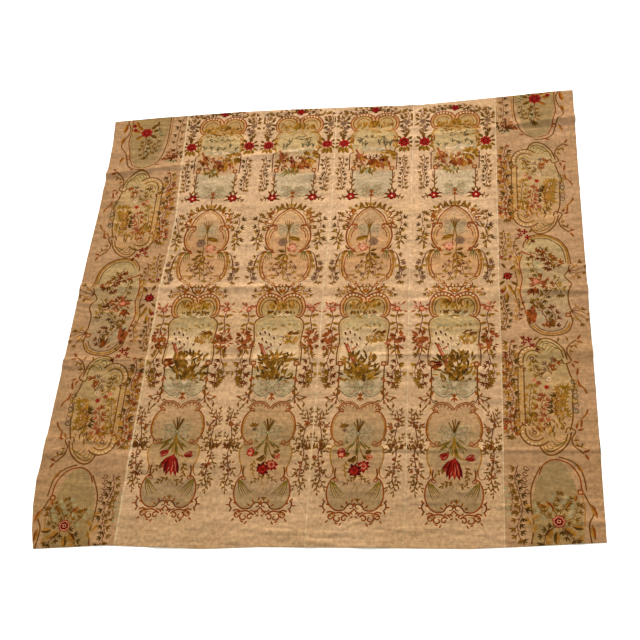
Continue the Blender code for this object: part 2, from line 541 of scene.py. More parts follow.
def rose(work, u, v, radius, outer="crimson", inner="wine", light="scarlet"):
    """A full rose: outer petals, a darker cup and lighter turned edges."""
    with work.at(u, v, work.chance.uniform(0, 90)):
        work.patch(scalloped(radius, 7, 0.2), outer, step=4)
        for index in range(7):
            with work.at(0, 0, 360 * index / 7 + 26):
                work.line(
                    light, 3.4, (radius * 0.55, -radius * 0.24), (radius * 0.8, 0),
                    (radius * 0.6, radius * 0.26), step=5
                )
        work.patch(scalloped(radius * 0.55, 5, 0.22, 20), inner, step=4)
        work.patch(scalloped(radius * 0.36, 4, 0.25, 50), light, step=3)
        work.patch(ring(0, 0, radius * 0.15, 6), inner, rounded=False)


def tulip(work, u, v, turn, length, width):
    """A half-open tulip, its petals streaked with a lighter wool."""
    petals = (
        (-21, 0.90, "wine"), (20, 0.92, "wine"), (-13, 0.98, "crimson"), (12, 1, "crimson"),
        (0, 0.94, "scarlet")
    )
    with work.at(u, v, turn):
        for lean, share, wool in petals:
            reach = length * share
            leaf(work, 0, 0, lean, reach, wool, width * 0.62)
            if wool != "wine":
                with work.at(0, 0, lean):
                    work.line("blush", 2.6, (reach * 0.3, 3), (reach * 0.62, 4), (reach * 0.86, 1), taper=0.5)
        for lean in (-6.5, 6.5):
            with work.at(0, 0, lean):
                work.line("wine", 3, (length * 0.22, 0), (length * 0.6, 0), (length * 0.85, 0), taper=0.6)


def carnation(work, u, v, size, wools):
    """A ragged open flower: rings of narrow petals, each over the last."""
    for layer, wool in enumerate(wools):
        reach = size * (1 - 0.22 * layer)
        for index in range(9):
            turn = 40 * index + 14 * layer + work.chance.uniform(-9, 9)
            leaf(work, u, v, turn, reach * work.chance.uniform(0.8, 1.1), wool, 0.44)


def volute(work, u, v, radius, start, turns, hand, wool, width):
    """A line that curls in to a point, from its outer end."""
    count = max(7, int(turns * 9))
    path = []
    for index in range(count):
        share = index / (count - 1)
        path.append(polar(radius * (1 - 0.78 * share), start + hand * 360 * turns * share, u, v))
    work.line(wool, width, *path, taper=0.75, step=4)


def scroll(work, points, wool, fill, width, edge, taper):
    """A band between two outlines, thicker at its start."""
    path = smooth(points, 6)
    count = len(path)
    widths = width * (1 + (taper - 1) * np.arange(count) / max(count - 1, 1))
    side = sideways(path) * widths[:, None] / 2
    work.line(fill, width, *path, taper=taper, rounded=False)
    work.line(wool, edge, *path + side, rounded=False)
    work.line(wool, edge, *path - side, rounded=False)


def pearled_arch(work, points, pearls, band, fill):
    """A scroll band with pale pearls and dark ribs by turns along part of it, and a thin line inside it."""
    scroll(work, points, "russet", fill, band, 5, taper=0.6)
    path = smooth(points, 6)
    work.line("gold", 0.16 * band, *shifted(path, -0.2 * band)[3:-3], rounded=False)
    for index, (u, v, direction, share) in enumerate(stations(points, 8)):
        if pearls[0] < share < pearls[1]:
            half = 3.4 if index % 2 else 1.8
            with work.at(u, v, direction):
                corners = [(-half, -5.2), (half, -5.2), (half, 5.2), (-half, 5.2)]
                work.patch(corners, "ivory" if index % 2 else "brown", rounded=False)


def movable(motif):
    """Lets a motif be given about its own middle and stitched with that middle at (u, v)."""

    def stitched(work, u, v, *values):
        with work.at(u, v):
            motif(work, *values)

    return stitched


def key_square(work, u, v, size=19):
    """A small square of the key pattern."""
    half = size / 2
    corners = [(u - half, v - half), (u + half, v - half), (u + half, v + half), (u - half, v + half)]
    work.patch(corners, "fawn", rounded=False)
    for first, second in zip(corners, corners[1:] + corners[:1]):
        work.line("russet", 5, first, second, rounded=False)


def bow(work, u, v, size):
    """A ribbon bow, mostly in line: two loops and tails to each side of a knot."""
    upper = [(2, 2), (18, 26), (42, 40), (60, 36), (58, 20), (42, 8), (24, 2)]
    lower = [(2, -2), (24, -4), (46, -8), (56, -22), (48, -38), (32, -32), (14, -16)]
    with work.at(u, v, size=size):
        for _ in work.both_sides():
            for loop in (lower, upper):
                work.patch([(a * 0.9, b * 0.9) for a, b in loop], "grey_sage", spread=0.03)
                for index, share in enumerate((0.3, 0.5, 0.7, 0.9, 1.08)):
                    inner = [(a * share + 3, b * share) for a, b in loop[1:6]]
                    work.line(*(("slate", 1.6) if index % 2 else ("mist", 3)), *inner)
            for tail in (
                [(8, 4), (20, 34), (30, 56)], [(4, -6), (14, -34), (30, -58)], [(8, -2), (36, 0), (72, 8)]
            ):
                work.line("mist", 3.8, *tail, taper=0.6)
                work.line("slate", 1.5, *shifted(np.array(tail, float), 2.2), taper=0.6)
        work.patch(ring(0, 0, 7, 8), "mist", rounded=False)
        work.line("slate", 1.6, *ring(0, 0, 7, 8), closed=True, rounded=False)


def mirrored(half):
    """A closed outline from its right half, given from one end to the other."""
    return list(half) + [(-u, v) for u, v in reversed(half) if u > 0.5]


# --- The middle strips, upper end first ---

# What differs from strip to strip: the flower of the lowest cartouche, and how far aside the motifs sit.
MIDDLE_DESIGNS = (
    {"node": "first_strip", "bloom": "tulips", "shift": -8},
    {"node": "second_strip", "bloom": "carnations", "shift": 0},
    {"node": "third_strip", "bloom": "carnations", "shift": -3},
    {"node": "fourth_strip", "bloom": "tulips", "shift": 3}
)


def row_one(work, design):
    """Crest of two pearled arches over a tall body, with a rose to each side."""
    lobes = [(0, 1122), (20, 1150), (56, 1163), (96, 1150), (122, 1112), (120, 1072), (100, 1046), (0, 1036)]
    body = [
        (0, 1046), (98, 1046), (116, 1010), (120, 960), (110, 900), (116, 860), (112, 790), (102, 770),
        (0, 760)
    ]
    lower = [(0, 800), (102, 792), (102, 700), (96, 660), (60, 616), (34, 606), (0, 628)]
    work.patch(mirrored(lower), "stone")
    work.patch(mirrored(body), "sand", ("sage", (0, 840), (0, 960)))
    work.patch(mirrored(lobes), "honey", ("sage", (0, 1140), (0, 1040)))
    crest_scene(work, design)
    for _ in work.both_sides():
        crest_leaves(work, 0, 1168)
        arch = [
            (6, 1112), (16, 1138), (46, 1154), (86, 1150), (114, 1122), (120, 1084), (106, 1052), (88, 1054)
        ]
        pearled_arch(work, arch, (0.12, 0.52), 19, "fawn")
        work.line("russet", 3.6, (30, 1112), (50, 1128), (76, 1126), (92, 1106), (96, 1082), taper=0.6)
        lines(
            work,
            ("gold", 6, (88, 1046), (102, 1036), (118, 1010), (122, 962), (114, 920), (104, 896)),
            ("ochre", 3.6, (86, 1036), (104, 1006), (108, 960))
        )
        heap(work, 112, 960, 8, 46, 12, ("gold", "russet"), 20, 90, 0.28)
        work.line("brown", 4.4, (104, 896), (122, 884), (122, 830), (120, 772), rounded=False)
        key_square(work, 99, 784)
        lines(work, ("brown", 4, (102, 772), (103, 710), (102, 654)), ("russet", 3, (111, 760), (110, 712)))
        for v, turn in ((716, 60), (700, 130), (684, 50), (668, 120), (660, 300), (656, 245)):
            leaf(work, 102, v, turn, 24, "olive", 0.3)
        lines(
            work,
            ("olive", 4, (102, 656), (112, 636), (110, 620)),
            ("olive", 4, (102, 656), (94, 640), (100, 622))
        )
        swag(work, 96, 646)
        small_red_flower(work, 104, 604)
        red_rose(work, 156, 956)
        top_spray(work, 168, 1098)
        bushy(work, [(160, 874), (152, 830), (166, 776), (154, 720), (158, 662)], 25, 13, ("olive", "bark"))
    bow(work, 0, 645, 0.9)
    work.line("olive", 3.8, (0, 650), (-1, 610), (0, 556))
    for turn in (60, 90, 120, 240, 270, 300):
        leaf(work, 0, 622, turn, 24, "russet", 0.28)
    blossom(work, 0, 1188, 20, "crimson", "wine", edge="wine")


@movable
def crest_leaves(work):
    """The leafy sprays that leave the crest's red flower to one side."""
    bushy(work, [(16, 14), (48, 24), (84, 20), (118, 2)], 25, 12, ("olive", "bark"))
    for away, up, turn in (
        (22, 12, 30), (26, 16, 100), (60, 8, 60), (100, 0, -20), (130, -14, -50), (140, 0, 20)
    ):
        leaf(work, away, up, turn, 26, "bark" if turn > 50 else "olive", 0.36)


def crest_scene(work, design):
    """Loose sprays that fill the uppermost cartouche: dark twigs, a belt of warm leaves, green ones below."""
    red_belt = design["bloom"] == "carnations"
    heap(work, 2, 1104, 26, 24, 30, ("moss", "gold", "olive"), 34, 268, 0.26)
    heap(work, -64, 1092, 30, 18, 24, ("ochre", "moss", "gold"), 30, 262, 0.26)
    heap(work, 64, 1096, 30, 16, 24, ("gold", "olive", "ochre"), 30, 274, 0.26)
    if red_belt:
        heap(work, 0, 1042, 96, 12, 26, ("ochre", "moss", "fawn"), 30, 4, 0.22)
    else:
        heap(work, 0, 1056, 104, 16, 74, ("gold", "olive", "ochre"), 34, 4, 0.26)
        heap(work, 0, 1022, 96, 8, 26, ("ochre", "olive"), 16, 80, 0.3)
    twigs = (-74, -60, -44, 30, 52, 60, 84) if red_belt else (-84, -46, -14, 20, 52, 84)
    for u in twigs:
        base = 922 + work.chance.uniform(0, 34)
        for _ in range(4):
            lean = work.chance.uniform(-16, 24)
            high = work.chance.uniform(20, 62) * (1 if red_belt else 0.5)
            path = [(u, base), (u + 0.3 * lean, base + 0.5 * high), (u + lean, base + high)]
            work.line("slate", 3.8, *path, taper=0.4)
            leaf(work, *path[1], work.chance.uniform(20, 160), 16, "slate", 0.24)
    heap(work, 0, 1000, 92, 10, 22, ("slate", "bark", "moss"), 20, 10, 0.24)
    heap(work, 0, 914, 96, 8, 34, ("ivory", "mist", "stone"), 34, 3, 0.3)
    dark = ("wine", "russet", "brown", "brown") if red_belt else ("gold", "coral", "russet")
    heap(work, 18, 866, 66, 20, 46, dark, 26, 268, 0.34)
    heap(work, 16, 874, 62, 16, 16, ("ivory", "stone"), 15, 270, 0.4)
    heap(work, 80, 870, 24, 24, 34, ("olive", "gold", "moss"), 28, None, 0.4)
    heap(work, -74, 868, 26, 28, 26, ("coral", "gold", "brown"), 26, 300, 0.34)
    heap(work, -78, 824, 18, 26, 20, ("brown", "olive"), 22, None, 0.34)
    work.line("coral", 9, (-92, 916), (-80, 888), (-72, 850), (-52, 820), (-34, 790), taper=0.4)
    work.line("russet", 5, (-72, 862), (-54, 880), (-50, 900), taper=0.5)
    heap(work, 30, 826, 52, 20, 40, ("coral", "brown", "gold", "russet"), 30, 270, 0.4)
    heap(work, -24, 782, 44, 24, 44, ("moss", "leaf_green", "mist", "olive"), 24, 262, 0.3)
    for u, v in ((-30, 884), (-6, 856), (22, 850), (52, 878)):
        blossom(work, u, v, 6.5, "ivory", "wine", 4)


@movable
def swag(work):
    """The scalloped lower edge between a side line and the bow."""
    lines(
        work,
        ("slate", 2.6, (0, 0), (-22, -24), (-44, -38), (-64, -36), (-84, -18)),
        ("mist", 3.6, (-4, 10), (-26, -14), (-46, -26), (-66, -24))
    )


@movable
def small_red_flower(work):
    """A red flower at a lower corner, with a curled tendril outside it."""
    for u, v, turn in ((-8, 8, 168), (-10, -4, 196), (8, 4, -16), (-4, 16, 120), (6, 16, 60)):
        leaf(work, u, v, turn, 32, "brown" if turn < 170 else "olive", 0.3)
    work.line("brown", 3, (16, -8), (38, -2), (50, -14), (46, -26))
    for u, v, turn in ((44, -10, -20), (30, -4, -75), (50, -14, 40), (36, -2, 60)):
        leaf(work, u, v, turn, 17, "olive", 0.36)
    blossom(work, 0, 0, 21, "crimson", "ivory", 5, "wine")
    for turn in (20, 92, 164, 236, 308):
        petal(work, 0, 0, turn, 15, 7, "scarlet")
    work.patch(ring(0, 0, 5, 7), "ivory", rounded=False)


@movable
def red_rose(work):
    """The rose beside the body, with leaves above and below it and a bud outside."""
    for u, v, turn, length in (
        (-14, 22, 130, 28), (4, 24, 80, 34), (22, 18, 40, 26), (-24, 6, 165, 24), (26, 2, 0, 26),
        (12, -24, 292, 38), (-8, -26, 248, 38), (22, -16, 326, 30), (-20, -18, 212, 30), (2, -28, 270, 34)
    ):
        leaf(work, u, v, turn, length, "olive", 0.46, "bark" if v > 0 else "moss")
    work.line("brown", 3, (4, 30), (12, 52), (6, 74))
    petal(work, 14, 54, 60, 15, 11, "russet")
    leaf(work, 2, 66, 110, 22, "olive")
    leaf(work, 8, 60, 30, 22, "bark")
    rose(work, 0, 0, 30)


@movable
def top_spray(work):
    """Leafy sprays with a grey-pink flower, above the rose."""
    bushy(work, [(2, -4), (12, 40), (-4, 78)], 27, 12, ("olive", "bark"))
    bushy(work, [(2, -10), (-10, -44), (2, -78)], 24, 12, ("olive", "bark"))
    for u, v, turn in (
        (14, 12, 30), (-14, 4, 190), (16, -12, -30), (-14, 20, 140), (20, 30, 60), (-16, -14, 220)
    ):
        leaf(work, u, v, turn, 28, "bark" if turn > 100 else "olive", 0.4)
    blossom(work, 0, 0, 18, "mauve", "slate", 6)
    blossom(work, -12, -40, 13, "mauve", "slate", 5)


def row_two(work, design):
    """A pointed arch over a waisted cartouche, with a bouquet that hangs from a bow."""
    upper = [
        (0, 532), (32, 512), (62, 480), (80, 440), (88, 404), (104, 360), (104, 316), (84, 276), (60, 262),
        (0, 256)
    ]
    lower = [(0, 276), (70, 270), (100, 244), (116, 196), (112, 140), (94, 98), (40, 62), (0, 56)]
    work.patch(mirrored(lower), "fawn", ("ground", (0, 190), (0, -20)))
    work.patch(mirrored(upper), "sand", ("fawn", (0, 500), (0, 330)))
    hanging_bouquet(work, design)
    for _ in work.both_sides():
        leafy_crown(work)
        lines(
            work,
            ("russet", 5, (0, 534), (34, 514), (64, 482), (82, 444), (84, 418)),
            ("gold", 3.4, (6, 520), (32, 500), (56, 470), (70, 438))
        )
        ruffle(work)
        lines(
            work,
            ("russet", 6.4, (60, 424), (84, 428), (104, 404), (113, 356), (106, 314), (90, 284), (66, 266)),
            ("gold", 4.4, (70, 404), (88, 400), (98, 372), (101, 346), (96, 318), (84, 296)),
            ("russet", 3.6, (62, 398), (76, 390), (86, 366), (88, 344)),
            ("gold", 5, (92, 264), (112, 246), (121, 200), (120, 156), (110, 112), (98, 92)),
            ("russet", 3.4, (98, 268), (118, 248), (127, 200), (126, 156), (116, 112)),
            ("russet", 3.6, (86, 258), (104, 238), (112, 200), (112, 160)),
            ("russet", 5, (115, 180), (108, 140), (92, 108)),
            ("ochre", 3.2, (126, 250), (134, 210), (134, 160), (128, 120))
        )
        volute(work, 70, 410, 13, 60, 1.2, 1, "russet", 4.4)
        volute(work, 74, 268, 12, 300, 1.1, 1, "russet", 4.4)
        waist_leaves(work)
        base_brackets(work)
        side_sprig(work)


def leafy_crown(work):
    """Half of the leafy spray over the pointed arch."""
    for u, v, turn, length, wool in (
        (4, 536, 120, 30, "moss"), (14, 536, 70, 34, "olive"), (24, 534, 20, 34, "moss"),
        (34, 530, 62, 38, "olive"), (46, 526, -6, 30, "bark"), (54, 526, 40, 34, "moss"),
        (64, 520, 74, 34, "olive"), (74, 518, 16, 34, "bark"), (84, 514, 48, 32, "moss"),
        (92, 508, -14, 30, "olive"), (28, 528, 160, 28, "olive"), (52, 524, 100, 32, "olive"),
        (78, 512, -40, 26, "moss")
    ):
        leaf(work, u, v, turn, length, wool, 0.34)
    work.line("olive", 4.4, (0, 538), (40, 528), (80, 514), (106, 500), taper=0.6)


def ruffle(work):
    """Curled gold and brown leaves down the shoulder of the pointed arch."""
    for u, v, turn in ((74, 508, 60), (86, 490, 40), (94, 468, 24), (98, 446, 10), (98, 426, -10)):
        heap(work, u, v, 12, 12, 13, ("gold", "russet", "ivory", "ochre", "brown"), 24, turn, 0.36)
    lines(
        work,
        ("russet", 4, (76, 508), (96, 502), (106, 486), (96, 470), (90, 466)),
        ("russet", 4, (90, 466), (112, 460), (114, 444), (102, 434)),
        ("brown", 4, (92, 430), (108, 424), (106, 408), (96, 402)),
        ("gold", 3.6, (66, 500), (84, 480), (90, 452), (88, 428))
    )
    leaves(
        work, "olive", 0.3, (122, 474, 20, 20), (128, 448, -5, 20), (122, 424, -35, 20), (112, 500, 50, 20)
    )


def waist_leaves(work):
    """Green blades and small leaves where the cartouche is narrowest."""
    for index in range(4):
        u = 98 - 9 * index
        work.line("leaf_green", 4.4, (90 - 4 * index, 264), (u + 2, 240), (u, 206 + 6 * index), taper=0.4)
    for u, v, turn, wool in (
        (88, 272, 30, "brown"), (96, 266, -10, "russet"), (84, 266, 200, "russet"), (100, 276, 60, "olive"),
        (108, 262, -40, "olive")
    ):
        leaf(work, u, v, turn, 26, wool, 0.34)


def base_brackets(work):
    """Key pattern and curls at the lower end of the second cartouche."""
    work.line(
        "gold", 5, (64, 116), (84, 118), (88, 100), (72, 94), (66, 78), (50, 84), (48, 66), rounded=False
    )
    work.line("russet", 3, (58, 124), (92, 124), (96, 92), (78, 84), (74, 66), (44, 70), rounded=False)
    volute(work, 46, 62, 13, 90, 1.2, -1, "russet", 4)
    work.line("gold", 4.4, (60, 62), (30, 50), (0, 48))
    for u, v, turn in ((80, 46, 20), (84, 52, 90), (74, 44, 200), (64, 104, 170), (92, 104, 10)):
        leaf(work, u, v, turn, 20, "russet" if v > 60 else "olive", 0.34)
    blossom(work, 76, 48, 10, "mauve", "wine", 5)


def side_sprig(work):
    """The branches beside the second cartouche, the lower one with grey-pink flowers."""
    bushy(work, [(148, 300), (160, 344), (148, 390), (160, 436), (152, 486)], 32, 21, ("olive", "bark"))
    leaves(
        work, "olive", 0.26, (156, 352, 100, 34), (150, 340, 20, 34), (154, 326, -50, 32),
        (158, 322, 220, 32), (146, 304, -80, 34)
    )
    leaves(work, "moss", 0.26, (162, 338, 160, 32), (152, 306, 250, 32), (160, 372, 60, 30))
    lines(
        work,
        ("brown", 3.2, (116, 262), (134, 252), (148, 210), (156, 150), (150, 100)),
        ("moss", 3, (112, 250), (126, 236), (134, 200), (136, 160))
    )
    bushy(work, [(134, 252), (150, 214), (160, 168)], 28, 19, ("olive", "moss"))
    bushy(work, [(156, 168), (166, 130), (158, 86)], 26, 18, ("olive", "bark"))
    for u, v, radius in ((174, 190, 14), (150, 106, 15), (168, 146, 10)):
        blossom(work, u, v, radius, "mauve", "wine", 5)


def hanging_bouquet(work, design):
    """The bouquet of the second row."""
    lean = 1 if design["node"] in ("third_strip", "fourth_strip") else -1
    bow(work, 0, 394, 0.86)
    for away, up in ((-24, 452), (-12, 458), (0, 462), (12, 454), (22, 446)):
        work.line("bark" if away % 3 else "olive", 4, (0, 392), (away * 0.4, 424), (away, up), taper=0.7)
    with work.at(0, 0, flip=lean):
        lines(
            work,
            ("olive", 3.6, (0, 396), (10, 330), (6, 262), (12, 190), (4, 96)),
            ("olive", 3.6, (0, 396), (-10, 330), (-16, 262)),
            ("olive", 3.6, (4, 330), (34, 300)), ("brown", 3, (8, 262), (-6, 200), (-10, 140))
        )
        for away, (length, wool) in enumerate(((62, "gold"), (54, "olive"), (44, "moss"))):
            leaf(work, -4, 356 - 6 * away, 206 - 16 * away, length, wool, 0.34, "olive")
        leaf(work, 6, 350, 320, 40, "moss", 0.36, "olive")
        for index in range(6):
            blossom(work, *polar(15, 60 * index, 24, 320), 12, "mauve", "slate", 5)
        blossom(work, 24, 320, 13, "mauve", "wine", 6)
        carnation(work, -28, 286, 28, ("coral", "blush", "blush", "coral"))
        carnation(work, -28, 290, 17, ("blush", "ivory", "blush"))
        leaves(
            work, "olive", 0.42, (8, 262, 20, 34), (10, 250, -24, 34), (26, 236, 320, 28), (34, 226, 350, 26),
            shade="bark"
        )
        leaves(
            work, "gold", 0.38, (4, 246, 250, 34), (-12, 246, 205, 30), (14, 236, 280, 30),
            (-30, 238, 190, 24), shade="olive"
        )
        leaves(
            work, "olive", 0.34, (8, 214, 240, 32), (12, 196, 300, 30), (8, 174, 236, 28), (8, 152, 300, 26),
            shade="moss"
        )
        for path in (
            [(10, 214), (-26, 184), (-48, 146)], [(12, 206), (34, 170), (42, 126)],
            [(14, 214), (52, 190), (70, 160)], [(6, 150), (-16, 120), (-24, 96)]
        ):
            bushy(work, path, 22, 19, ("moss", "brown"), "brown")
        for u, v in ((-44, 178), (52, 152), (30, 124), (-20, 128)):
            blossom(work, u, v, 8, "mauve", "brown", 5)


def row_three(work, design):
    """A shell between pearled arches over a tall body, with flower garlands to both sides."""
    lobes = [(0, -20), (28, 0), (62, 0), (100, -26), (120, -70), (112, -108), (86, -126), (0, -134)]
    body = [
        (0, -130), (86, -130), (112, -146), (116, -180), (106, -240), (106, -270), (114, -310), (112, -400),
        (0, -400)
    ]
    lower = [(0, -372), (102, -384), (100, -480), (78, -528), (46, -552), (0, -536)]
    work.patch(mirrored(lower), "stone", ("sage", (0, -470), (0, -380)), spread=0.03)
    work.patch(mirrored(body), "sage", ("ivory", (0, -160), (0, -330)), spread=0.03)
    work.patch(mirrored(lobes), "honey", ("sage", (0, -60), (0, -130)))
    body_sprays(work, design)
    for _ in work.both_sides():
        arch = [
            (4, -36), (14, -10), (42, 4), (72, 4), (98, -18), (111, -60), (106, -98), (92, -116), (78, -108)
        ]
        pearled_arch(work, arch, (0.1, 0.5), 20, "fawn")
        work.line("brown", 4, (20, -44), (38, -26), (66, -24), (86, -44), (92, -74), (86, -100), taper=0.7)
        lines(
            work,
            ("bronze", 5, (84, -118), (100, -128), (115, -146), (118, -180), (112, -226), (110, -262)),
            ("ochre", 4, (88, -136), (104, -150), (108, -190), (100, -232)),
            ("bronze", 5, (108, -258), (116, -290), (119, -340), (117, -384)),
            ("ochre", 3.6, (100, -266), (108, -300), (111, -362)),
            ("russet", 3.4, (112, -264), (126, -272), (130, -290)),
            ("brown", 4.4, (103, -386), (102, -470), (104, -556))
        )
        key_square(work, 100, -374, 20)
        for v, turn in (
            (-440, 240), (-446, 290), (-456, 270), (-486, 235), (-494, 300), (-508, 250), (-520, 285)
        ):
            leaf(work, 102, v, turn, 24, "russet" if v > -480 else "olive", 0.3)
        swag(work, 98, -506)
        base_tendrils(work)
        crest_spray(work)
        flower_garland(work)
    shell(work)
    bow(work, 0, -500, 1)
    for turn in (60, 90, 120, 230, 270, 310):
        leaf(work, 0, -546, turn, 22, "russet", 0.3)


def shell(work):
    """A small shell of pointed leaves between two curls, over the meeting of the arches."""
    for index in range(5):
        leaf(work, 0, 14, 90 + 30 * (index - 2), 28, "russet" if index % 2 else "gold", 0.3)
    for _ in work.both_sides():
        lines(
            work,
            ("brown", 4.4, (2, 4), (20, 20), (30, 36), (26, 50), (14, 52)),
            ("russet", 4.4, (10, -8), (32, 10), (56, 18), (70, 12)),
            ("gold", 3.8, (26, 20), (44, 30), (58, 24))
        )
        leaves(work, "russet", 0.34, (30, 40, 50, 22), (44, 30, 70, 20), (20, 50, 110, 20), (60, 20, 30, 20))
    leaves(work, "olive", 0.34, (0, 44, 90, 20), (-8, 40, 130, 18), (8, 40, 50, 18))


def crest_spray(work):
    """The spray that leaves the crest sideways."""
    bushy(work, [(56, 10), (82, 30), (112, 26), (134, 8)], 24, 15, ("olive", "gold"), "russet")
    for u, v, turn in ((60, 22, 120), (66, 26, 70), (76, 34, 90), (90, 34, 40), (100, 20, -30)):
        leaf(work, u, v, turn, 26, "russet" if turn > 80 else "gold", 0.3)


def base_tendrils(work):
    """Curled sprays under the lower corners of the third cartouche."""
    for path in (
        [(104, -546), (124, -556), (146, -572), (156, -590)],
        [(104, -546), (96, -566), (74, -582)], [(104, -540), (128, -540), (144, -548)],
        [(104, -552), (110, -572), (122, -588)]
    ):
        work.line("brown", 3.4, *path, taper=0.6)
    for u, v, turn in (
        (118, -552, -60), (134, -562, 30), (150, -578, -95), (108, -560, -90), (84, -576, -160),
        (112, -542, 60), (140, -546, -10), (120, -584, -60), (92, -562, 200), (100, -536, 110)
    ):
        leaf(work, u, v, turn, 23, "olive" if v < -560 else "russet", 0.32)


def flower_garland(work):
    """Pink-brown rose, leaves and a cluster of orange-red flowers beside the third body."""
    work.line("brown", 3.4, (158, -80), (148, -130), (156, -180), (146, -230), (150, -320))
    leaves(
        work, "olive", 0.36, (152, -112, 10, 34), (150, -116, 170, 34), (156, -126, 60, 26),
        (150, -150, 196, 36), (154, -156, -30, 32), (152, -176, 214, 32), (158, -190, 14, 26),
        (142, -226, 226, 28), shade="gold"
    )
    heap(work, 156, -66, 16, 16, 14, ("coral", "blush", "russet"), 20, None, 0.36)
    carnation(work, 152, -74, 17, ("russet", "coral", "blush"))
    leaves(work, "coral", 0.34, (176, -52, 50, 22), (136, -62, 150, 24), (180, -84, -20, 22))
    heap(work, 160, -226, 24, 18, 30, ("russet", "coral", "brown", "russet"), 24, None, 0.34)
    heap(work, 140, -268, 20, 20, 26, ("coral", "russet", "olive"), 22, None, 0.34)
    heap(work, 170, -270, 16, 22, 20, ("russet", "brown", "coral"), 22, None, 0.34)
    leaves(
        work, "olive", 0.34, (156, -294, -60, 32), (146, -298, 240, 30), (150, -284, 200, 28),
        (160, -300, 280, 30), shade="gold"
    )
    bushy(work, [(150, -316), (162, -366), (150, -414), (160, -462)], 30, 20, ("olive", "brown"))
    bushy(work, [(162, -366), (178, -410), (172, -452)], 28, 20, ("moss", "olive"))
    bushy(work, [(150, -400), (138, -436), (144, -486)], 28, 18, ("olive", "brown"))


def leaf_fan(work, u, v, half, count):
    """A mass of pointed leaves that spread up and out from one point, to half the width given."""
    wools = ("olive", "gold", "olive", "moss", "bark")
    for index in range(count):
        turn = work.chance.gauss(90, 30)
        away, up = polar(work.chance.uniform(30, 172), turn)
        if abs(away) < half and up > 10:
            leaf(
                work, u + away, v + up, turn + work.chance.uniform(-60, 60), 32, wools[index % len(wools)],
                0.28
            )


def body_sprays(work, design):
    """Loose sprays that fill the third cartouche: blossoms above, a mass of pointed leaves below."""
    shift = 8 if design["bloom"] == "tulips" else -4
    heap(work, 2, -62, 76, 22, 84, ("moss", "gold", "olive", "ochre"), 26, 90, 0.36)
    heap(work, 0, -84, 66, 8, 34, ("bark", "brown", "olive"), 20, 268, 0.28)
    heap(work, 0, -112, 84, 8, 26, ("mist", "ivory", "moss"), 26, 6, 0.26)
    for flip, v in ((1, -160), (-1, -178)):
        with work.at(0, 0, flip=flip):
            bushy(work, [(92, v), (58, v + 8), (20, v - 4)], 18, 14, ("moss", "mist"), "mist")
    for u, v in (
        (-84, -206), (-62, -200), (-40, -212), (-72, -236), (-52, -252), (-16, -232), (18, -228), (-84, -262),
        (-28, -266), (8, -266), (40, -244)
    ):
        work.line("stone", 2.6, (u, v), (u * 0.8, v - 34), (u * 0.5, -330))
        blossom(work, u, v, 12, "ivory", "wine", 5)
        leaf(work, u + 4, v - 14, 60 if u > 0 else 120, 18, "brown")
    heap(work, 62, -210, 34, 8, 20, ("olive", "brown"), 24, 6, 0.26)
    heap(work, 58, -252, 40, 24, 44, ("ochre", "moss", "gold"), 22, 84, 0.3)
    lines(
        work,
        ("coral", 13, (-78, -266), (-62, -310), (-42, -352), (-30, -400)),
        ("blush", 3, (-70, -280), (-56, -316), (-40, -350)),
        ("coral", 6, (-52, -300), (-30, -282))
    )
    leaf_fan(work, shift, -496, 84, 170)
    if design["bloom"] == "tulips":
        heap(work, -72, -376, 24, 22, 22, ("wine", "brown", "russet"), 28, 190, 0.26)


def row_four(work, design):
    """Double-arched crest over three lobes, with a bouquet hanging from a bow, and scrolls at the base."""
    crest = [(0, -604), (16, -588), (44, -577), (72, -580), (86, -600), (80, -622), (0, -630)]
    upper = [(0, -612), (70, -616), (98, -630), (116, -664), (122, -706), (114, -748), (92, -778), (0, -790)]
    middle = [(0, -776), (90, -782), (112, -804), (117, -840), (110, -880), (98, -930), (94, -950), (0, -960)]
    lower = [
        (0, -930), (84, -944), (106, -958), (121, -1000), (118, -1046), (98, -1080), (74, -1094), (44, -1082),
        (0, -1062)
    ]
    work.patch(mirrored(lower), "grey_sage", ("dun", (0, -960), (0, -1120)), spread=0.03)
    work.patch(mirrored(middle), "dun", ("sand", (0, -780), (0, -900)), spread=0.03)
    work.patch(mirrored(upper), "sand", ("dun", (0, -640), (0, -800)), spread=0.03)
    work.patch(mirrored(crest), "sand")
    for _ in work.both_sides():
        crest_scrolls(work)
        lines(
            work,
            (
                "russet", 5, (68, -624), (84, -618), (102, -634), (116, -662), (122, -704), (116, -740),
                (100, -766), (84, -780)
            ),
            ("gold", 4, (96, -640), (110, -668), (116, -704), (110, -738))
        )
        volute(work, 76, -772, 13, 330, 1.2, -1, "russet", 4)
        work.line("russet", 4.4, (104, -772), (92, -790), (70, -788), (58, -778), taper=0.6)
        work.line("gold", 4.6, (92, -782), (110, -796), (117, -832), (110, -872), (98, -902), (96, -920))
        work.line("russet", 3.6, (100, -894), (104, -930), (118, -942), (132, -932), taper=0.6)
        work.line("brown", 4.6, (88, -896), (92, -926), (86, -946))
        volute(work, 84, -950, 12, 60, 1.1, -1, "russet", 4)
        work.line(
            "russet", 5, (84, -938), (104, -948), (120, -984), (122, -1026), (108, -1066), (80, -1090),
            (54, -1090)
        )
        base_volutes(work)
        lobe_plume(work)
        base_scroll(work)
        side_branch(work)
    if design["bloom"] == "tulips":
        tulip_bouquet(work)
    else:
        carnation_bouquet(work)


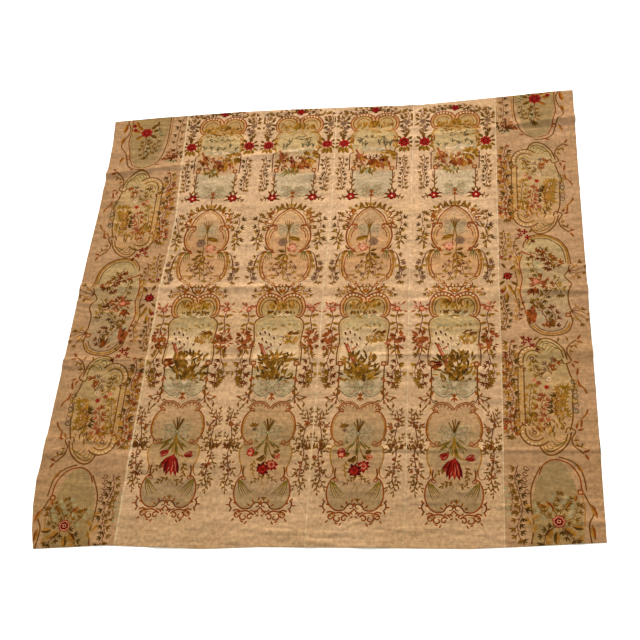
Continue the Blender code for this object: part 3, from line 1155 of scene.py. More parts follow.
def crest_scrolls(work):
    """One arch of the crest: two lines, short ribs between them and a curled end."""
    scroll(
        work,
        [(4, -610), (16, -590), (42, -576), (70, -578), (88, -594), (90, -612)],
        "russet", "sand", 9, 3.8, 0.8
    )
    for u, v, turn in ((26, -598, 130), (42, -590, 105), (58, -590, 80), (72, -596, 55)):
        with work.at(u, v, turn):
            work.line("russet", 3, (-7, 0), (8, 0), rounded=False)
    volute(work, 80, -612, 12, 30, 1.1, -1, "russet", 4)
    leaf(work, 92, -600, -10, 16, "moss")


def lobe_plume(work):
    """Long blades in the upper corner of the lowest lobe."""
    for index in range(5):
        path = [
            (106 - 3 * index, -956 - 2 * index), (106 - 7 * index, -984), (99 - 10 * index, -1012 + index),
            (87 - 11 * index, -1038 + 5 * index)
        ]
        work.line(("leaf_green", "moss")[index % 2], 4.4, *path, taper=0.4)


def base_volutes(work):
    """Scrolls with small leaves in the middle of the lowest lobe's lower edge, and outside its corners."""
    work.line(
        "brown", 5, (58, -1092), (42, -1086), (34, -1072), (20, -1060), (6, -1066), (8, -1080), (20, -1082),
        taper=0.7
    )
    work.line("russet", 4.6, (40, -1096), (26, -1104), (10, -1096), (0, -1082))
    leaves(
        work, "russet", 0.34, (30, -1066, 70), (14, -1056, 110), (44, -1080, 40), (2, -1074, 90),
        (24, -1098, 250), length=19
    )
    work.line("brown", 4.8, (124, -1050), (134, -1062), (132, -1082), (122, -1092))
    leaves(
        work, "russet", 0.36, (128, -1056, 60), (133, -1074, 0), (126, -1090, -70), (122, -1062, 200),
        length=18
    )


def base_scroll(work):
    """The loops under the lowest cartouche."""
    lines(
        work,
        ("russet", 5.6, (116, -1102), (100, -1096), (82, -1104), (62, -1100), (42, -1106), (26, -1120)),
        ("ochre", 3.6, (108, -1112), (88, -1114), (58, -1112))
    )
    for u, v, radius, start in ((96, -1122, 18, 130), (68, -1128, 20, 60), (40, -1128, 15, 100)):
        volute(work, u, v, radius, start, 0.9, -1, "russet", 5.6)
    leaves(
        work, "russet", 0.34, (112, -1112, 200, 18), (82, -1146, 200, 18), (52, -1146, 300, 18),
        (108, -1134, 310, 18)
    )
    leaves(work, "russet", 0.4, (4, -1108, 30, 16), (4, -1116, -40, 16))


def side_branch(work):
    """The tall branch beside the fourth cartouche: leaves and small brown-pink flowers on long twigs."""
    work.line(
        "brown", 3.4, (166, -612), (176, -660), (166, -712), (160, -770), (170, -830), (162, -890),
        (156, -940), (168, -990)
    )
    for path in (
        [(172, -660), (156, -640), (142, -616)], [(174, -668), (186, -646), (188, -616)],
        [(168, -712), (150, -704), (138, -688)], [(170, -700), (184, -690), (194, -674)],
        [(162, -800), (140, -784), (124, -760)], [(163, -790), (148, -756), (146, -726)],
        [(164, -784), (182, -760), (196, -738)], [(166, -812), (186, -798), (202, -782)],
        [(166, -816), (144, -822), (126, -812)]
    ):
        sprig(work, path, 22, 12, "olive", "brown", 44, 2.4, 0.34)
    heap(work, 164, -806, 34, 12, 20, ("brown", "bark", "olive"), 24, 90, 0.3)
    for u, v in ((176, -668), (152, -694), (172, -846), (150, -884), (172, -900), (152, -926)):
        heap(work, u, v, 7, 7, 7, ("russet", "brown", "mauve"), 17, None, 0.4)
    for path in (
        [(166, -860), (184, -872), (190, -890)], [(160, -900), (142, -908), (134, -926)],
        [(158, -930), (176, -948), (182, -974)], [(158, -944), (146, -966), (136, -990)],
        [(160, -960), (166, -980), (164, -1010)]
    ):
        sprig(work, path, 22, 12, "olive", "brown", 46, 2.4, 0.34)


def bouquet_stems(work, tips):
    """Cut ends above the bow of a hanging bouquet."""
    for away, up in tips:
        work.line("olive", 4.2, (0, -724), (away * 0.4, -700), (away, up), taper=0.8)
    lines(
        work,
        ("bark", 4.2, (0, -724), (10, -690), (20, -664)),
        ("bark", 4.2, (0, -724), (-2, -690), (-8, -658))
    )


def tulip_bouquet(work):
    """Two tulips and a bud, with narrow leaves."""
    bouquet_stems(work, ((-24, -668), (6, -652), (26, -662)))
    for points in (
        [(0, -724), (-4, -770), (-6, -812), (-8, -834)],
        [(0, -724), (2, -770), (4, -812), (4, -846)], [(0, -724), (6, -780), (22, -840), (50, -852)]
    ):
        work.line("moss", 5, *points)
    leaves(
        work, "leaf_green", 0.16, (-6, -752, 228, 84), (-10, -760, 208, 62), (-2, -770, 244, 72),
        (6, -760, 300, 70), (10, -772, 322, 56), (2, -784, 282, 60), (14, -746, 318, 44),
        (-20, -790, 190, 34), (-60, -756, 250, 26), (-48, -766, 200, 24), shade="olive"
    )
    bow(work, 0, -728, 1)
    tulip(work, -22, -824, 210, 42, 0.56)
    tulip(work, -10, -850, 250, 72, 0.34)
    tulip(work, 2, -842, 270, 98, 0.34)
    tulip(work, 48, -850, 18, 42, 0.5)
    sprig(work, [(46, -884), (60, -912), (56, -950)], 24, 11, "olive", "olive")
    sprig(work, [(-44, -890), (-62, -906), (-74, -922)], 20, 11, "olive", "olive")
    sprig(work, [(-8, -948), (-28, -960), (-50, -972)], 22, 10, "olive", "olive")
    sprig(work, [(20, -962), (34, -972), (50, -976)], 20, 10, "olive", "olive")
    leafy_ground(work, ((-10, -990), (6, -1000), (16, -984)))


def carnation_bouquet(work):
    """Two carnations, buds and leafy stems."""
    bouquet_stems(work, ((-22, -670), (-10, -660), (8, -656), (26, -668)))
    for points in (
        [(0, -724), (-14, -770), (-44, -800), (-56, -812)],
        [(0, -724), (-4, -780), (4, -850), (-2, -880)], [(0, -724), (6, -780), (22, -830), (34, -852)],
        [(0, -724), (18, -766), (40, -790), (60, -818)]
    ):
        work.line("olive", 3.4, *points)
    leaves(
        work, "leaf_green", 0.2, (-10, -760, 240, 52), (8, -764, 305, 50), (0, -776, 268, 60),
        (30, -786, 330, 34), (-34, -792, 250, 30), shade="olive"
    )
    leaves(
        work, "olive", 0.55, (-30, -828, 200, 34), (-6, -838, 250, 34), (34, -826, 20, 30),
        (26, -838, 330, 30), (-44, -778, 120, 20), (-8, -858, 190, 30), shade="bark"
    )
    bow(work, 0, -728, 0.95)
    tuft(work, -64, -700, 100, 24, 4, 40, "olive", width=0.4)
    blossom(work, -62, -712, 11, "mauve", "wine", 5)
    for up in (-820, -834):
        carnation(work, -68, up, 18, ("crimson", "scarlet", "blush"))
    carnation(work, 54, -846, 15, ("scarlet", "blush", "coral"))
    carnation(work, 30, -886, 28, ("crimson", "scarlet", "blush", "scarlet"))
    carnation(work, -8, -908, 31, ("wine", "crimson", "scarlet", "crimson"))
    sprig(work, [(-46, -866), (-52, -896), (-46, -926)], 18, 10, "moss", "olive")
    sprig(work, [(0, -930), (-26, -952), (-44, -968)], 18, 10, "olive", "olive")
    sprig(work, [(10, -930), (34, -948), (52, -960)], 18, 10, "olive", "olive")
    leafy_ground(work, ((-8, -990), (16, -984), (2, -1010)))


def leafy_ground(work, places):
    """Small faint sprays in the lowest lobe."""
    for u, v in places:
        work.line("moss", 2, (u, v), (u + 6, v + 24), (u - 4, v + 40))
        tuft(work, u, v, 270, 16, 3, 44, "grey_sage", width=0.34)
    tuft(work, places[0][0] + 20, places[0][1] - 56, 90, 15, 3, 50, "olive", width=0.4)


def middle_strip(work, design):
    """All four rows of a middle strip."""
    with work.at(design["shift"], 0):
        for row in (row_one, row_two, row_three, row_four):
            row(work, design)


# --- The borders, upper end first ---

# Where each panel of a border starts and ends, upper end first, and which way its contents sit across it.
# A rose is (u, v, radius), from its oval's inner end.
BORDER_DESIGNS = (
    {
        "node": "left_border", "flip": 1, "upper_oval": 807, "cartouches": ((796, 240), (-337, -896)),
        "middle": (225, -326), "lower_oval": -912, "joints": (262, -325), "upper_rose": (-18, 260, 33),
        "lower_rose": (-34, -275, 28)
    },
    {
        "node": "right_border", "flip": -1, "upper_oval": 956, "cartouches": ((930, 352), (-238, -824)),
        "middle": (340, -219), "lower_oval": -843, "joints": (346, -265), "upper_rose": (-3, 280, 34),
        "lower_rose": (-18, -279, 29)
    }
)


def border(work, design):
    """A border: a stack of panels near its outer side, and vines down its inner side."""
    high, low = design["middle"]
    with work.at(0, 0, flip=design["flip"]):
        upper_oval(work, 0, design["upper_oval"], design["upper_rose"])
        lower_oval(work, 0, design["lower_oval"], design["lower_rose"])
        middle_panel(work, high, low)
        for top, bottom in design["cartouches"]:
            tall_panel(work, 0, (top + bottom) / 2, (top - bottom) / 2)
            panel_vine(work, top, bottom)
        for v in design["joints"]:
            red_cluster(work, 70, v)
        middle_vines(work, 0, high)


def oval_fill(work, reach, middle):
    """The ground of an end oval. It runs this far from its inner end, and the cloth's edge cuts it off."""
    half = reach / 2
    turns = np.linspace(0, 2 * math.pi, 24)[:-1]
    outline = [(middle + 106 * math.sin(t), half + abs(half) * math.cos(t)) for t in turns]
    work.patch(outline, "dun", ("moor", (0, 0), (0, half)))


@movable
def upper_flower(work, radius):
    """The red rose of the upper oval, with the branch that hangs from it."""
    leaves(
        work, "gold", 0.42, (-22, 20, 140, 46), (-34, 4, 168, 40), (-20, -22, 215, 40), (-50, 50, 120, 36),
        shade="russet"
    )
    leaves(
        work, "olive", 0.42, (24, 22, 60, 40), (34, 10, 20, 42), (26, -16, -30, 40), (52, 44, 80, 36),
        shade="bark"
    )
    for u, v in ((-66, 22), (-74, 52)):
        blossom(work, u, v, 13, "crimson", "wine")
    rose(work, 0, 0, radius)
    leaves(work, "mist", 0.3, (60, -6, 40, 34), (66, 14, 100, 30), (70, -10, -20, 34), shade="slate")
    bushy(work, [(0, -radius), (6, -84), (-2, -124), (12, -168)], 30, 14, ("bark", "olive"))
    bushy(work, [(14, -60), (36, -110), (28, -150)], 22, 15, ("olive", "mist"), "olive")
    bushy(work, [(66, -46), (72, -90), (58, -138)], 20, 16, ("bark", "olive"))


@movable
def upper_oval(work, flower):
    """The oval at a border's upper end: a red rose with a long hanging branch."""
    oval_fill(work, 640, -6)
    lines(
        work,
        (
            "bronze", 5, (-128, 420), (-132, 348), (-112, 290), (-120, 240), (-146, 172), (-112, 118),
            (-98, 73)
        ),
        ("bronze", 5, (-98, 73), (-84, 26), (-46, -2), (12, -8)),
        ("russet", 4, (-112, 400), (-102, 280), (-108, 200), (-94, 136), (-80, 73), (-56, 26), (-10, 8)),
        ("bronze", 4.6, (102, 420), (107, 271), (104, 172), (84, 78), (50, 28), (6, 6)),
        ("gold", 3.4, (114, 400), (118, 260), (112, 150))
    )
    key_square(work, -94, 88)
    leaves(
        work, "gold", 0.3, (-150, 350, 60, 60), (-146, 260, 80, 66), (-152, 190, 70, 44), (-118, 96, 250, 46),
        shade="russet"
    )
    leaves(work, "russet", 0.3, (90, 60, 60, 30), (60, 26, 20, 26), (-40, 0, 200, 30))
    upper_flower(work, *flower)
    bushy(work, [(184, 390), (166, 300), (160, 200), (168, 120)], 28, 26, ("olive", "bark"))
    bushy(work, [(168, 130), (176, 96), (150, 70)], 34, 12, ("bark", "brown"))
    bushy(work, [(130, 150), (138, 110), (128, 80)], 26, 13, ("brown", "russet"), "russet")
    leaves(work, "mist", 0.24, (140, 70, 200, 30), (150, 60, 260, 34), (160, 64, 300, 30))


@movable
def lower_flower(work, radius):
    """The dark red flower of the lower oval, with the leaves round it."""
    leaves(
        work, "russet", 0.4, (-30, 62, 130, 34), (20, 44, 60, 50), (44, 60, 20, 36), (-70, 90, 100, 30),
        shade="gold"
    )
    leaves(
        work, "bark", 0.42, (-20, -26, 220, 44), (-54, -20, 190, 44), (26, -30, 310, 46), (10, -44, 275, 50),
        shade="gold"
    )
    for path in (
        [(0, 20), (-20, 60), (-50, 100)], [(6, 24), (20, 70), (0, 120)], [(20, 10), (60, 30), (78, 70)],
        [(-20, 0), (-60, 20), (-80, 70)]
    ):
        bushy(work, path, 26, 15, ("olive", "mist"), "olive")
    for path in ([(10, -20), (50, -50), (64, -96)], [(-10, -24), (-40, -60), (-70, -80)]):
        bushy(work, path, 28, 14, ("bark", "gold"), "brown")
    rose(work, 0, 0, radius, "crimson", "wine", "blush")


@movable
def lower_oval(work, flower):
    """The oval at a border's lower end: a dark red flower among gold and brown leaves."""
    oval_fill(work, -640, -12)
    lines(
        work,
        ("russet", 4.8, (-118, -135), (-110, -72), (-70, -18), (-10, 0), (36, -26), (54, -70)),
        ("bronze", 4.6, (-138, -140), (-125, -60), (-88, -10), (-30, 12)),
        ("bronze", 5, (-124, -150), (-142, -190), (-160, -240), (-140, -292), (-146, -380)),
        ("gold", 3.6, (-118, -160), (-126, -220), (-120, -300)),
        ("bronze", 4.6, (50, -36), (87, -124), (92, -214), (84, -300), (96, -380))
    )
    key_square(work, -112, -146)
    for v in (-40, -66, -92, -118, -146):
        volute(work, 112 + 6 * math.sin(v), v, 14, 200, 1.1, 1, "brown", 3.6)
    leaves(
        work, "gold", 0.26, (-152, -200, 250, 60), (-150, -290, 262, 60), (-128, -60, 60, 46), shade="russet"
    )
    leaves(
        work, "gold", 0.5, (92, -230, 40, 34), (92, -270, 140, 36), (96, -300, 60, 40), (90, -330, 110, 38),
        shade="ochre"
    )
    lower_flower(work, *flower)
    path = [(142, -30), (156, -90), (140, -160), (128, -230), (150, -300), (140, -360)]
    bushy(work, path, 30, 17, ("olive", "bark"))
    bushy(work, [(182, -110), (168, -180), (180, -240)], 26, 16, ("mist", "olive"), "olive")


@movable
def tall_panel(work, half):
    """A tall panel: a leaf-shaped lobe and a pearled arch at each end, scrolls and feathers outside it."""
    inside = [
        (-84, -97), (-74, -61), (-40, -20), (0, -4), (30, -14), (60, -50), (100, -62), (122, -92),
        (122, -150), (126, -200)
    ]
    lower = [(u, -half - v) for u, v in inside]
    upper = [(u, half + v) for u, v in inside]
    work.patch([*upper, *lower[::-1], (-112, -40), (-104, 60)], "sage", ("fawn", (0, half), (0, -half)))
    panel_leaves(work, half)
    for end, turn, flip in ((half, 0, 1), (-half, 180, -1)):
        with work.at(0, end, turn, flip=flip):
            panel_end(work)
    lines(
        work,
        ("bronze", 4.6, (128, half - 157), (130, 0), (128, 157 - half)),
        ("bronze", 4.2, (102, half - 150), (104, 0), (102, 150 - half)),
        ("ochre", 9, (115, half - 160), (117, 0), (115, 160 - half)),
        (
            "bronze", 5, (-86, half - 133), (-98, half - 187), (-116, half - 241), (-104, 0),
            (-100, 180 - half), (-84, 120 - half)
        )
    )
    for index, v in enumerate(np.arange(-76, 80, 24)):
        volute(
            work, -116 - 4 * (index % 2), v, 16, 250 if index % 2 else 60, 1.2, 1 if index % 2 else -1,
            ("slate", "mauve", "moss")[index % 3], 4.4
        )
    for v, rise in ((8, 1), (-70, -1)):
        for reach, bend in ((100, 8), (82, 20), (58, 30)):
            tip = (-166 + 0.62 * reach, v + rise * 0.8 * reach)
            path = [(-166, v), (-160 + 0.2 * reach - bend * 0.3, v + rise * 0.42 * reach), tip]
            work.line("gold" if reach > 60 else "russet", 5, *path, taper=0.4)
    leaves(work, "russet", 0.2, (-128, 96, 100, 44), (-138, 40, 80, 40), (-138, -120, 280, 40))


def panel_end(work):
    """The upper end of a tall panel, from its highest point down."""
    for index in range(5):
        share = index / 4
        blade = [
            (-74 + 84 * share, -74 + 56 * share), (-40 + 66 * share, -58 + 40 * share),
            (-14 + 44 * share, -84 + 34 * share)
        ]
        work.line(("moss", "leaf_green")[index % 2], 4.4, *blade, taper=0.4)
    lines(
        work,
        ("bronze", 5.4, (-90, -112), (-75, -61), (-40, -17), (0, 0), (30, -12), (46, -42)),
        ("olive", 4, (-74, -104), (-60, -62), (-30, -30), (2, -16), (24, -28)),
        ("ochre", 11, (20, -80), (40, -62), (66, -58), (98, -76), (114, -106), (114, -136)),
        (
            "bronze", 5.4, (8, -67), (30, -50), (60, -43), (100, -57), (124, -92), (128, -127), (116, -146),
            (100, -140)
        ),
        ("bronze", 4.4, (28, -84), (46, -72), (70, -70), (92, -84), (103, -106), (104, -130)),
        ("gold", 4, (40, -100), (60, -88), (80, -98), (90, -122)),
        (
            "bronze", 5, (-136, -8), (-112, -28), (-96, -48), (-90, -80), (-108, -118), (-76, -134),
            (-66, -108)
        ),
        ("gold", 3.6, (-146, -30), (-118, -44), (-106, -66), (-108, -94))
    )
    for u, v, turn in (
        (46, -58, 20), (62, -52, 0), (78, -54, -14), (93, -63, -32), (106, -77, -52), (114, -94, -70),
        (117, -112, -84)
    ):
        with work.at(u, v, turn):
            work.patch([(-3.6, -4.6), (3.6, -4.6), (3.6, 4.6), (-3.6, 4.6)], "ivory", rounded=False)
    work.line("brown", 3.4, *ring(66, -108, 8, 7), closed=True, rounded=False)
    volute(work, 104, -160, 15, 80, 1.2, -1, "russet", 4.6)
    leaves(
        work, "russet", 0.3, (-140, -8, 120, 30), (-134, -14, 200, 28), (-116, -120, 200, 28),
        (-110, -128, 250, 28)
    )
    leaves(work, "olive", 0.3, (-100, -50, 160, 26), (-96, -70, 190, 24), (-126, -34, 250, 24))


def panel_leaves(work, half):
    """Loose leafy sprays in a tall panel."""
    sprays = (
        ([(-60, -120), (-50, -40), (-62, 30)], 36, 12, ("moss", "gold"), "olive"),
        ([(-36, -110), (-26, -60), (-40, -10)], 34, 12, ("gold", "bark"), "brown"),
        ([(10, -150), (36, -90), (20, -10)], 30, 15, ("coral", "russet"), "russet"),
        ([(70, -150), (84, -60), (72, 40)], 28, 15, ("moss", "gold"), "olive"),
        ([(-20, half - 190), (-2, half - 150), (-30, half - 120)], 30, 13, ("russet", "mauve"), "brown"),
        ([(20, half - 210), (54, half - 170), (60, half - 130)], 26, 14, ("olive", "moss"), "olive")
    )
    for path, reach, spacing, wools, stem in sprays:
        bushy(work, path, reach, spacing, wools, stem)
    for u, v, wools in (
        (-48, 146 - half, ("moss", "olive")), (-10, 116 - half, ("gold", "moss", "bark")),
        (44, 126 - half, ("gold", "russet")), (78, 168 - half, ("olive", "moss"))
    ):
        heap(work, u, v, 24, 30, 16, wools, 24, 80, 0.26)
    for u, v, radius, wool in (
        (40, 60, 13, "coral"), (-6, 80, 12, "ivory"), (60, 76, 11, "blush"), (6, 40, 12, "scarlet"),
        (34, 170 - half, 12, "coral")
    ):
        blossom(work, u, v, radius, wool, "wine", 5)


def middle_panel(work, top, bottom):
    """The rounder panel between the two tall ones."""
    inside = [(-118, -170), (-104, -80), (-70, -26), (-17, -4), (40, -10), (76, -50), (96, -130), (98, -300)]
    lower = [(80, 80), (60, 40), (16, 12), (-44, 6), (-94, 22), (-114, 80), (-112, 200)]
    outline = [(u, top + v) for u, v in inside] + [(u, bottom + v) for u, v in lower]
    work.patch(outline, "sage", ("grey_sage", (0, top), (0, bottom)))
    panel_blooms(work, 0, (top + bottom) / 2, (top - bottom) / 2)
    with work.at(0, top):
        lines(
            work,
            ("gold", 6.5, (-122, -166), (-114, -86), (-78, -32), (-18, -2), (42, -10), (70, -46)),
            ("bronze", 4.8, (-134, -170), (-120, -80), (-80, -22), (-16, 6), (50, -2), (82, -44), (84, -70)),
            ("bronze", 3.6, (-112, -160), (-100, -86), (-66, -40), (-16, -14), (36, -22), (58, -54)),
            ("bronze", 5, (-126, -176), (-120, -202), (-102, -238), (-130, -283), (-112, -337), (-116, -409)),
            ("russet", 4.4, (91, -110), (106, -170), (95, -250), (107, -330), (91, -400), (84, -446)),
            ("ochre", 6, (103, -120), (117, -180), (107, -260), (118, -330), (103, -400)),
            ("bronze", 4, (116, -130), (128, -190), (118, -262), (129, -334), (112, -410))
        )
        for v, lift in ((-206, 16), (-432, -20)):
            for end, far in (((-168, 26), 22), ((-190, 4), 16), ((-184, -22), 20), ((-164, -44), 22)):
                path = [(-120, v), ((end[0] - 120) / 2, v + end[1] * 0.7), (end[0], v + end[1] + lift)]
                work.line("brown", 3.4, *path, taper=0.6)
                tuft(work, *path[-1], 180 - end[1] * 1.6, far, 3, 30, "olive", width=0.28)
                tuft(work, *path[1], 180 - end[1] * 2.4, far, 2, 60, "gold", width=0.28)
        leaves(
            work, "gold", 0.4, (112, -180, 60, 40), (116, -206, 30, 36), (108, -232, 80, 36),
            (112, -150, 100, 34), (110, -340, 70, 34), shade="ochre"
        )
    with work.at(0, bottom):
        lines(
            work,
            ("gold", 6.5, (-114, 64), (-94, 26), (-44, 6), (16, 14), (58, 54)),
            ("bronze", 4.8, (-126, 68), (-102, 18), (-46, -4), (20, 4), (68, 50), (80, 110)),
            ("bronze", 3.6, (-102, 74), (-84, 38), (-42, 18), (12, 26), (46, 60)),
            ("bronze", 5, (-116, top - bottom - 405), (-124, top - bottom - 430), (-116, 124), (-126, 68))
        )
        key_square(work, -107, 106)
        leaves(work, "olive", 0.3, (-90, -10, 250, 26), (-60, -14, 290, 24), (30, -14, 260, 24))


@movable
def panel_blooms(work, half):
    """Branches and flowers that fill the middle panel."""
    for path, reach, wools, stem in (
        (
            [(60, half - 96), (20, half - 110), (-20, half - 130), (-70, half - 170)],
            34, ("brown", "russet"), "russet"
        ),
        (
            [(10, half - 60), (-8, half - 90), (-30, half - 140), (-34, half - 190)],
            30, ("brown", "olive"), "brown"
        ),
        ([(40, half - 120), (44, half - 170), (20, half - 220)], 28, ("olive", "mist"), "olive"),
        ([(-80, 40), (-60, 0), (-84, -60)], 28, ("olive", "moss"), "olive"),
        ([(-40, -40), (0, -80), (30, -120)], 28, ("olive", "bark"), "olive"),
        ([(-20, 60 - half), (10, 120 - half), (50, 170 - half)], 30, ("olive", "mist"), "brown"),
        ([(-40, 40 - half), (-50, 90 - half), (-30, 140 - half)], 28, ("brown", "bark"), "brown")
    ):
        bushy(work, path, reach, 15, wools, stem)
    heap(work, 26, 10, 34, 30, 26, ("russet", "coral", "brown"), 26, None, 0.3)
    heap(work, -24, -6, 24, 22, 16, ("brown", "russet", "coral"), 24, None, 0.3)
    carnation(work, 32, 14, 24, ("russet", "coral", "blush"))
    heap(work, 44, -30, 18, 26, 16, ("russet", "brown"), 26, 280, 0.3)
    heap(work, 56, 86 - half, 14, 36, 26, ("russet", "brown", "coral"), 40, 84, 0.3)
    heap(work, -20, 46 - half, 26, 16, 16, ("russet", "brown", "olive"), 26, 70, 0.3)
    work.line("coral", 9, (98, half - 92), (70, half - 104), (40, half - 118), taper=0.4)


@movable
def red_cluster(work):
    """A bunch of small dark red flowers over the joint between two panels."""
    leaves(work, "olive", 0.34, (-14, 16, 140, 28), (20, 16, 40, 30), (26, -14, -20, 28), (-20, -22, 220, 30))
    for away, up, radius in ((6, 20, 16), (-8, -12, 15), (28, 2, 13), (-30, -38, 10), (30, 32, 10)):
        blossom(work, away, up, radius, "crimson" if away > -20 else "wine", "wine", 4)


def panel_vine(work, top, bottom):
    """The bushy vine between a tall panel and the inner seam."""
    path = [
        (152, top - 10), (164, top - 80), (150, top - 150), (170, top - 230), (152, top - 310),
        (166, top - 390), (160, bottom + 96)
    ]
    bushy(work, path, 34, 14, ("olive", "bark", "gold"))
    bushy(
        work,
        [(184, top - 90), (176, top - 180), (188, top - 270)],
        28, 18, ("gold", "russet", "olive"), "russet"
    )
    bushy(
        work,
        [(140, bottom + 240), (150, bottom + 170), (142, bottom + 110)],
        26, 16, ("russet", "gold"), "brown"
    )
    for u, v, radius, wool in (
        (182, top - 96, 14, "coral"), (186, bottom + 160, 14, "coral"), (146, top - 16, 11, "russet"),
        (176, top - 250, 10, "russet"), (190, bottom + 130, 9, "scarlet")
    ):
        blossom(work, u, v, radius, wool, "wine", 4)


@movable
def middle_vines(work):
    """The hanging sprigs and red flowers beside the middle panel."""
    bushy(work, [(176, 40), (168, -30), (184, -90), (172, -130)], 26, 15, ("olive", "moss"))
    bushy(work, [(120, -20), (132, -70), (112, -120)], 24, 15, ("gold", "olive"), "brown")
    leaves(
        work, "olive", 0.34, (170, -190, 60, 34), (150, -200, 130, 36), (176, -260, 320, 36),
        (146, -264, 220, 38), shade="bark"
    )
    leaves(
        work, "gold", 0.34, (160, -280, 250, 44), (172, -290, 290, 44), (150, -310, 240, 38),
        (166, -330, 270, 46), shade="olive"
    )
    carnation(work, 163, -232, 24, ("wine", "crimson", "scarlet", "wine"))
    for away, up, radius in ((190, -122, 10), (146, -120, 9), (190, -322, 12)):
        blossom(work, away, up, radius, "crimson", "wine", 4)
    bushy(work, [(176, -340), (184, -400), (168, -460), (182, -520)], 26, 14, ("olive", "bark"))
    bushy(work, [(116, -360), (110, -410), (124, -470)], 22, 14, ("gold", "brown"), "brown")


# --- Settings ---


class ClothSettings(bpy.types.PropertyGroup):
    """Sizes of the cloth, shared by all six strips."""

    thickness: bpy.props.FloatProperty(
        name="Thickness", description="Canvas and wool together", default=0.0026, unit="LENGTH"
    )
    ripple: bpy.props.FloatProperty(
        name="Ripple",
        description="Usual height of the small waves in the cloth",
        default=0.0021, unit="LENGTH"
    )
    stitch: bpy.props.FloatProperty(
        name="Stitch",
        description="Width and height of one tent stitch as drawn",
        default=0.0044, unit="LENGTH"
    )
    detail: bpy.props.FloatProperty(
        name="Detail",
        description="Distance between points in the plain parts of the cloth",
        default=0.009, unit="LENGTH"
    )
    seam_dip: bpy.props.FloatProperty(
        name="Seam dip",
        description="How far the cloth sinks at a sewn seam",
        default=0.0009, unit="LENGTH"
    )
    seam_reach: bpy.props.FloatProperty(
        name="Seam reach",
        description="How far from a seam the cloth sinks",
        default=0.007, unit="LENGTH"
    )


class WoolColours(bpy.types.PropertyGroup):
    """The colour of each wool."""


WoolColours.__annotations__ = {
    name: bpy.props.FloatVectorProperty(
        name=name.replace("_", " ").capitalize(), description=use, default=linear(code), subtype="COLOR",
        size=3
    ) for name, (code, use) in WOOLS.items()
}


class StageSettings(bpy.types.PropertyGroup):
    """The floor and the light."""

    floor_side: bpy.props.FloatProperty(
        name="Floor side", description="Side of the square floor", default=16.0, unit="LENGTH"
    )
    floor_colour: bpy.props.FloatVectorProperty(
        name="Floor colour", description="Pale seamless paper", default=linear("FAFAFA"), subtype="COLOR",
        size=3
    )
    sky_colour: bpy.props.FloatVectorProperty(
        name="Sky colour", description="Warm daylight", default=(1.0, 0.965, 0.86), subtype="COLOR", size=3
    )
    lamp_colour: bpy.props.FloatVectorProperty(
        name="Lamp colour", description="Cooler lamp light", default=(0.94, 1.0, 1.28), subtype="COLOR",
        size=3
    )
    sky_strength: bpy.props.FloatProperty(
        name="Sky strength", description="Even light from all round", default=0.84
    )
    window_strength: bpy.props.FloatProperty(
        name="Window strength",
        description="Low soft light from the upper end, in watts per square metre",
        default=4.0
    )
    lamp_power: bpy.props.FloatProperty(
        name="Lamp power",
        description="Large soft lamp over the upper end, in watts",
        default=44.0, unit="POWER"
    )
    lamp_side: bpy.props.FloatProperty(
        name="Lamp side", description="Side of the soft lamp", default=1.4, unit="LENGTH"
    )


# --- Cloth ---

# Between points along a strip's edge, in metres.
EDGE_STEP = 0.012
# How far apart the rows of a triangular grid are, as a share of its spacing.
GRID_ROW = 0.866
# How far the cloth reaches to each side of its middle, along the strips.
REACH = 1.3
# How many rounds bring a corner onto both of its lines.
CORNER_ROUNDS = 8
# Points nearer than this become one, in metres: on the upper side and on the back.
UPPER_MERGE = 1e-6
BACK_MERGE = 1e-9
# How much wider apart the points of the plain back are.
BACK_COARSER = 1.5


def side_at(side, y, inward):
    """Where a strip's long side is at this y. A seam keeps half the gap on each side of it."""
    x = read_table(side, y)
    if side in (LEFT_EDGE, RIGHT_EDGE):
        return x
    return x + inward * SEAM_GAP / 2


def corner(side, end, inward):
    """Where a strip's long side meets a cut end."""
    x = side[0][1]
    for _ in range(CORNER_ROUNDS):
        y = float(read_table(end, x))
        x = float(side_at(side, y, inward))
    return x, y


def strip_outline(strip):
    """The strip's outline, anticlockwise from its lower left corner."""
    step = EDGE_STEP
    left, right = strip["sides"]
    lower_left, lower_right = corner(left, BOTTOM_END, 1), corner(right, BOTTOM_END, -1)
    upper_left, upper_right = corner(left, TOP_END, 1), corner(right, TOP_END, -1)
    across = np.arange(1, int((lower_right[0] - lower_left[0]) / step)) * step
    lower, upper = lower_left[0] + across, upper_right[0] - across
    up = np.arange(lower_right[1] + step, upper_right[1] - step / 2, step)
    down = np.arange(upper_left[1] - step, lower_left[1] + step / 2, -step)
    runs = (
        [lower_left], zip(lower, read_table(BOTTOM_END, lower)), [lower_right],
        zip(side_at(right, up, -1), up), [upper_right], zip(upper, read_table(TOP_END, upper)), [upper_left],
        zip(side_at(left, down, 1), down)
    )
    return np.array([point for run in runs for point in run], float)


def resting_points(strip, spacing, margin):
    """A triangular grid of points inside the strip."""
    left, right = strip["sides"]
    found = []
    for row, y in enumerate(np.arange(-REACH, REACH, spacing * GRID_ROW)):
        start, end = float(side_at(left, y, 1)), float(side_at(right, y, -1))
        x = np.arange(start + margin + (row % 2) * spacing / 2, end - margin, spacing)
        inside = (read_table(BOTTOM_END, x) + margin < y) & (y < read_table(TOP_END, x) - margin)
        found.append(np.stack([x[inside], np.full(inside.sum(), y)], axis=1))
    return np.concatenate(found)


